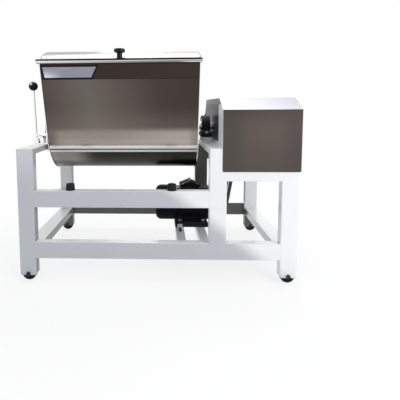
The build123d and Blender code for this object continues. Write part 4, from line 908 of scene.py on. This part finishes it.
def perimeterPoint(share, width, height, corner):  # a point and its outward way on a rounded rectangle
    straight = [width - 2 * corner, height - 2 * corner] * 2
    arc = math.pi / 2 * corner
    rest = share * (sum(straight) + 4 * arc)
    halfWidth, halfHeight = width / 2 - corner, height / 2 - corner
    centres = [(halfWidth, -halfHeight), (halfWidth, halfHeight), (-halfWidth, halfHeight),
               (-halfWidth, -halfHeight)]
    for side in range(4):
        start = centres[side - 1]
        angle = (side - 1) * math.pi / 2
        outward = (math.cos(angle), math.sin(angle))
        if rest <= straight[side]:
            return (start[0] + outward[0] * corner - outward[1] * rest,
                    start[1] + outward[1] * corner + outward[0] * rest), outward
        rest -= straight[side]
        if rest <= arc:
            angle += rest / corner
            outward = (math.cos(angle), math.sin(angle))
            return (centres[side][0] + outward[0] * corner, centres[side][1] + outward[1] * corner), outward
        rest -= arc


def addBead(mesh, centre, width, height, axis):  # one rippled bead round a tube that runs along an axis
    look = weldLook
    across, up = (Vector(way) for way in beadWays[axis])
    along = across.cross(up)
    length = 2 * (width + height)
    rings = []
    for step in range(look["steps"]):
        share = step / look["steps"]
        (right, rise), (outRight, outRise) = perimeterPoint(share, width, height, look["corner"])
        outward = across * outRight + up * outRise
        middle = Vector(centre) + across * right + up * rise - outward * look["inset"]
        radius = look["radius"] - look["ripple"] * abs(math.sin(math.pi * share * length / look["pitch"]))
        angles = [2 * math.pi * side / look["sides"] for side in range(look["sides"])]
        rings.append([mesh.verts.new(middle + (outward * math.cos(angle) + along * math.sin(angle)) * radius)
                      for angle in angles])
    for ring, following in zip(rings, rings[1:] + rings[:1]):
        for side in range(look["sides"]):
            other = (side + 1) % look["sides"]
            mesh.faces.new((ring[side], ring[other], following[other], following[side]))


def addRailBeads(mesh, name, axis, section=None, height=None):  # both ends of one rail, or of a pair of them
    low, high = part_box(name)
    main, other = ("x", "y") if axis == "x" else ("y", "x")
    width = getattr(high - low, other)
    sides = (-1, 1) if section else (0,)
    section = section or (width, high.z - low.z)
    for end in (getattr(low, main), getattr(high, main)):
        for side in sides:
            spot = (low + high) / 2
            setattr(spot, main, end)
            setattr(spot, other, getattr(spot, other) + side * (width - section[0]) / 2)
            spot.z = height or spot.z
            addBead(mesh, spot, *section, axis)


def buildWelds():
    mesh = bmesh.new()
    legLow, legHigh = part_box("front_left_leg")
    tube = legHigh - legLow
    beamLow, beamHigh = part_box("top_beams")
    beamHeight = beamHigh.z - beamLow.z
    for name in ("front_upper_rail", "front_lower_rail", "rear_lower_rail"):
        addRailBeads(mesh, name, "x")
    addRailBeads(mesh, "bottom_side_rails", "y", (tube.x, tube.y))
    addRailBeads(mesh, "top_beams", "y", (tube.x, beamHeight))
    addRailBeads(mesh, "drive_top_rails", "x", (tube.y, tube.x))
    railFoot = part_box("motor_support_rails")[0].z
    addRailBeads(mesh, "motor_support_rails", "y", (tube.y, tube.y), railFoot + tube.y / 2)
    for name in ("front_middle_post", "rear_middle_post"):
        low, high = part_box(name)
        foot = Vector(((low.x + high.x) / 2, (low.y + high.y) / 2, low.z))
        addBead(mesh, foot, tube.x, tube.y, "z")
        inward = math.copysign(abs(foot.y) - tube.y / 2, foot.y)
        addBead(mesh, (foot.x, inward, (beamLow.z + beamHigh.z) / 2), tube.x, beamHeight, "y")
    newPiece("frame_welds", mesh, framePaint, "frame")


buildWelds()
print("welds laid")

# Heads of screws, bolts and rivets are spun or drawn on the surface where a ray from outside lands
headLook = {
    "raySpace": 0.1,
    "spinSteps": 20,
    "button": [(0, 0.35), (0.42, 0.35), (0.45, 1), (0.62, 0.97), (0.86, 0.72), (1, 0.2), (1, 0), (0, 0)],
}


def landing(name, place, way):  # where the ray meets a piece of the frame, and the surface's outward way
    way = Vector(way)
    start = Vector(place) - way * headLook["raySpace"]
    hit, spot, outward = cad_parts[name].ray_cast(start, way)[:3]
    if not hit:
        raise RuntimeError("nothing met on " + name)
    return spot, outward


def spunForm(mesh, base, axis, profile):  # a profile of radius and height, spun about an axis
    axis = Vector(axis).normalized()
    side = axis.orthogonal().normalized()
    points = [mesh.verts.new(Vector(base) + side * radius + axis * height) for radius, height in profile]
    lines = [mesh.edges.new(pair) for pair in zip(points, points[1:])]
    bmesh.ops.spin(mesh, geom=points + lines, cent=base, axis=axis, dvec=(0, 0, 0), angle=2 * math.pi,
                   steps=headLook["spinSteps"], use_merge=True, use_duplicate=False)


def hexForm(mesh, base, axis, radius, height, wear):  # a hexagon head with worn upper corners
    axis = Vector(axis).normalized()
    place = Matrix.Translation(base) @ axis.to_track_quat("Z", "Y").to_matrix().to_4x4()
    ring = bmesh.ops.create_circle(mesh, cap_ends=True, segments=6, radius=radius, matrix=place)["verts"]
    hexagon = next(face for face in ring[0].link_faces if len(face.verts) == 6)
    raised = bmesh.ops.extrude_face_region(mesh, geom=[hexagon])["geom"]
    corners = [part for part in raised if isinstance(part, bmesh.types.BMVert)]
    rims = [part for part in raised if isinstance(part, bmesh.types.BMEdge)]
    bmesh.ops.translate(mesh, verts=corners, vec=axis * height)
    bmesh.ops.bevel(mesh, geom=rims, offset=wear, offset_type="OFFSET", segments=2, profile=0.5,
                    affect="EDGES", material=-1)


def buttonHead(mesh, base, axis, radius, height):  # a domed screw head with a round recess
    spunForm(mesh, base, axis, [(radius * wide, height * high) for wide, high in headLook["button"]])


# Grease nipples on the bearing blocks: a hexagon foot, a neck and a ball head
nippleLook = {"blockHalf": 0.025, "hexRadius": 0.0046, "hexHeight": 0.003, "sunk": 0.0006, "wear": 0.0004,
              "neck": [(0.0, 0.0), (0.0026, 0.0), (0.0024, 0.0022), (0.0017, 0.0030), (0.0017, 0.0040),
                       (0.0027, 0.0052), (0.0025, 0.0068), (0.0012, 0.0076), (0.0, 0.0076)]}


def buildNipples():
    look = nippleLook
    mesh = bmesh.new()
    low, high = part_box("bearing_housings")
    for x in (low.x + look["blockHalf"], high.x - look["blockHalf"]):
        place, outward = landing("bearing_housings", (x, 0, high.z), (0, 0, -1))
        base = place - outward * look["sunk"]
        hexForm(mesh, base, outward, look["hexRadius"], look["hexHeight"] + look["sunk"], look["wear"])
        spunForm(mesh, place + outward * look["hexHeight"], outward, look["neck"])
    newPiece("grease_nipples", mesh, zincPlate, "frame")


# Screws: down in the buffers, on the terminal box and round the motor's end shield
screwLook = {"buffer": (0.0050, 0.0050), "box": (0.0034, 0.0018), "boxAlong": 0.034, "boxAcross": 0.036,
             "shieldCircle": 0.0812, "shieldRadius": 0.0048, "shieldHeight": 0.004, "sunk": 0.0004,
             "wear": 0.0005}


def buildBufferScrews():
    mesh = bmesh.new()
    low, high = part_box("tilt_buffers")
    reach = (high.y - low.y) / 2
    for x in (low.x + reach, high.x - reach):
        place, outward = landing("tilt_buffers", (x, low.y + reach, high.z), (0, 0, -1))
        buttonHead(mesh, place - outward * screwLook["sunk"], outward, *screwLook["buffer"])
    newPiece("buffer_screws", mesh, blackOxide, "frame")


def buildBoxScrews():
    look = screwLook
    mesh = bmesh.new()
    low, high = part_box("motor_eye")
    middle = (low + high) / 2
    for x in (middle.x - look["boxAlong"], middle.x + look["boxAlong"]):
        for y in (middle.y - look["boxAcross"], middle.y + look["boxAcross"]):
            place, outward = landing("terminal_box", (x, y, high.z), (0, 0, -1))
            buttonHead(mesh, place - outward * look["sunk"], outward, *look["box"])
    newPiece("terminal_screws", mesh, zincPlate, "frame")


def buildShieldBolts():
    look = screwLook
    mesh = bmesh.new()
    low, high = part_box("motor_shaft")
    middle = (low + high) / 2
    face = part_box("motor_body")[1].x
    for turn in range(4):
        angle = math.pi / 4 + turn * math.pi / 2
        spot = (face, middle.y + look["shieldCircle"] * math.cos(angle),
                middle.z + look["shieldCircle"] * math.sin(angle))
        place, outward = landing("motor_body", spot, (-1, 0, 0))
        base = place - outward * look["sunk"]
        hexForm(mesh, base, outward, look["shieldRadius"], look["shieldHeight"], look["wear"])
    newPiece("shield_bolts", mesh, zincPlate, "frame")


# Rivets that hold the hinge leaves
rivetLook = {"radius": 0.0036, "height": 0.0016, "sunk": 0.0003, "domeSteps": 5, "leafHalf": 0.031,
             "lid": [(-0.020, 0.012), (0.0, 0.028), (0.020, 0.012)], "trough": (0.014, 0.034)}


def addRivet(mesh, place, outward):
    look = rivetLook
    angles = [turn * math.pi / 2 / look["domeSteps"] for turn in range(look["domeSteps"])]
    dome = [(look["radius"] * math.cos(angle), look["height"] * math.sin(angle)) for angle in angles]
    spunForm(mesh, place - outward * look["sunk"], outward, [(0, 0)] + dome + [(0, look["height"])])


def buildRivets():
    look = rivetLook
    low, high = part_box("lid_hinge_leaves")
    middles = (low.x + look["leafHalf"], (low.x + high.x) / 2, high.x - look["leafHalf"])
    mesh = bmesh.new()
    for middle in middles:
        for x, y in look["lid"]:
            addRivet(mesh, *landing("lid_hinge_leaves", (middle + x, low.y + y, high.z), (0, 0, -1)))
    newPiece("lid_rivets", mesh, zincPlate, "lid")
    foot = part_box("trough_hinge_leaves")[0].z
    mesh = bmesh.new()
    for x in middles:
        for rise in look["trough"]:
            addRivet(mesh, *landing("trough_hinge_leaves", (x, high.y, foot + rise), (0, -1, 0)))
    newPiece("trough_rivets", mesh, zincPlate, "trough")


buildNipples()
buildBufferScrews()
buildBoxScrews()
buildShieldBolts()
buildRivets()
print("fittings placed")

# The room: plain white to the camera, a softer and cooler light to everything else
roomLook = {"light": (0.90, 0.94, 1.0), "lightStrength": 0.42, "backdrop": (1, 1, 1), "backdropStrength": 1.0}


def makeRoom():
    look = roomLook
    world = bpy.data.worlds.new("paleStudio")
    bpy.context.scene.world = world
    world.use_nodes = True
    world.node_tree.nodes.clear()
    room = NodeTree(world.node_tree)
    light = room.node("ShaderNodeBackground", {},
                      {"Color": (*look["light"], 1), "Strength": look["lightStrength"]})
    backdrop = room.node("ShaderNodeBackground", {},
                         {"Color": (*look["backdrop"], 1), "Strength": look["backdropStrength"]})
    mixed = room.node("ShaderNodeMixShader", {}, {0: room.seenRays(), 1: light, 2: backdrop})
    output = room.tree.nodes.new("ShaderNodeOutputWorld")
    room.tree.links.new(mixed.socket, output.inputs["Surface"])


# The floor: it takes shadows near the machine and fades to white further out
floorLook = {"size": 16.0, "color": (0.93, 0.93, 0.93), "roughness": 0.9, "glow": 1.0, "shareNear": 0.78,
             "shareFar": 1.0, "fade": (0.75, 1.9)}


def makeFloorFinish():
    look = floorLook
    made = Finish("paleFloor", look["color"], look["roughness"])
    at = made.axes()
    distance = (at.x * at.x + at.y * at.y).root()
    share = distance.step(look["fade"]) * (look["shareFar"] - look["shareNear"]) + look["shareNear"]
    glow = made.node("ShaderNodeEmission", {}, {"Strength": look["glow"]})
    matte = Wire(made, made.shader.outputs[0])
    mixed = made.node("ShaderNodeMixShader", {}, {0: made.seenRays() * share, 1: matte, 2: glow})
    made.tree.links.new(mixed.socket, made.tree.nodes["Material Output"].inputs["Surface"])
    return made


makeRoom()
floorMesh = bmesh.new()
bmesh.ops.create_grid(floorMesh, x_segments=1, y_segments=1, size=floorLook["size"])
floorData = bpy.data.meshes.new("studioFloor")
floorMesh.to_mesh(floorData)
floorMesh.free()
floorData.materials.append(makeFloorFinish().material)
studioFloor = bpy.data.objects.new("studioFloor", floorData)
bpy.context.scene.collection.objects.link(studioFloor)

lampLook = {
    "overhead": {"place": (0.2, 0.3, 3.4), "aim": (0, 0, 0.5), "size": 3.0, "power": 62, "tone": (1, 1, 1)},
    "rightFront": {"place": (2.6, -2.2, 1.5), "aim": (0.45, 0, 0.4), "size": 1.6, "power": 52,
                   "tone": (1, 0.985, 0.96)},
    "leftFront": {"place": (-2.4, -3.0, 2.2), "aim": (-0.2, 0, 0.6), "size": 2.0, "power": 22,
                  "tone": (0.95, 0.975, 1)},
    "behind": {"place": (0.4, 3.0, 2.0), "aim": (0, 0, 0.5), "size": 2.4, "power": 34, "tone": (1, 1, 1)},
}
for name, look in lampLook.items():
    lamp = bpy.data.lights.new(name, "AREA")
    lamp.size = look["size"]
    lamp.energy = look["power"]
    lamp.color = look["tone"]
    holder = bpy.data.objects.new(name, lamp)
    bpy.context.scene.collection.objects.link(holder)
    holder.location = look["place"]
    aim = Vector(look["aim"]) - Vector(look["place"])
    holder.rotation_euler = aim.to_track_quat("-Z", "Y").to_euler()

# The camera stands where the photograph was taken from
cameraLook = {"place": (0.02346, -1.7625, 0.73046), "turn": 0.0383, "dip": 0.0884, "roll": -0.006,
              "lens": 32.127, "sensor": 36, "shiftX": 0.1295, "shiftY": -0.1553}
cameraData = bpy.data.cameras.new("camera")
cameraData.lens = cameraLook["lens"]
cameraData.sensor_width = cameraLook["sensor"]
cameraData.shift_x = cameraLook["shiftX"]
cameraData.shift_y = cameraLook["shiftY"]
camera = bpy.data.objects.new("camera", cameraData)
bpy.context.scene.collection.objects.link(camera)
turned = Matrix.Rotation(cameraLook["turn"], 4, "Z")
dipped = Matrix.Rotation(math.pi / 2 - cameraLook["dip"], 4, "X")
rolled = Matrix.Rotation(cameraLook["roll"], 4, "Z")
camera.matrix_world = Matrix.Translation(cameraLook["place"]) @ turned @ dipped @ rolled
bpy.context.scene.camera = camera
bpy.context.scene.view_settings.view_transform = "Standard"
print("studio ready")
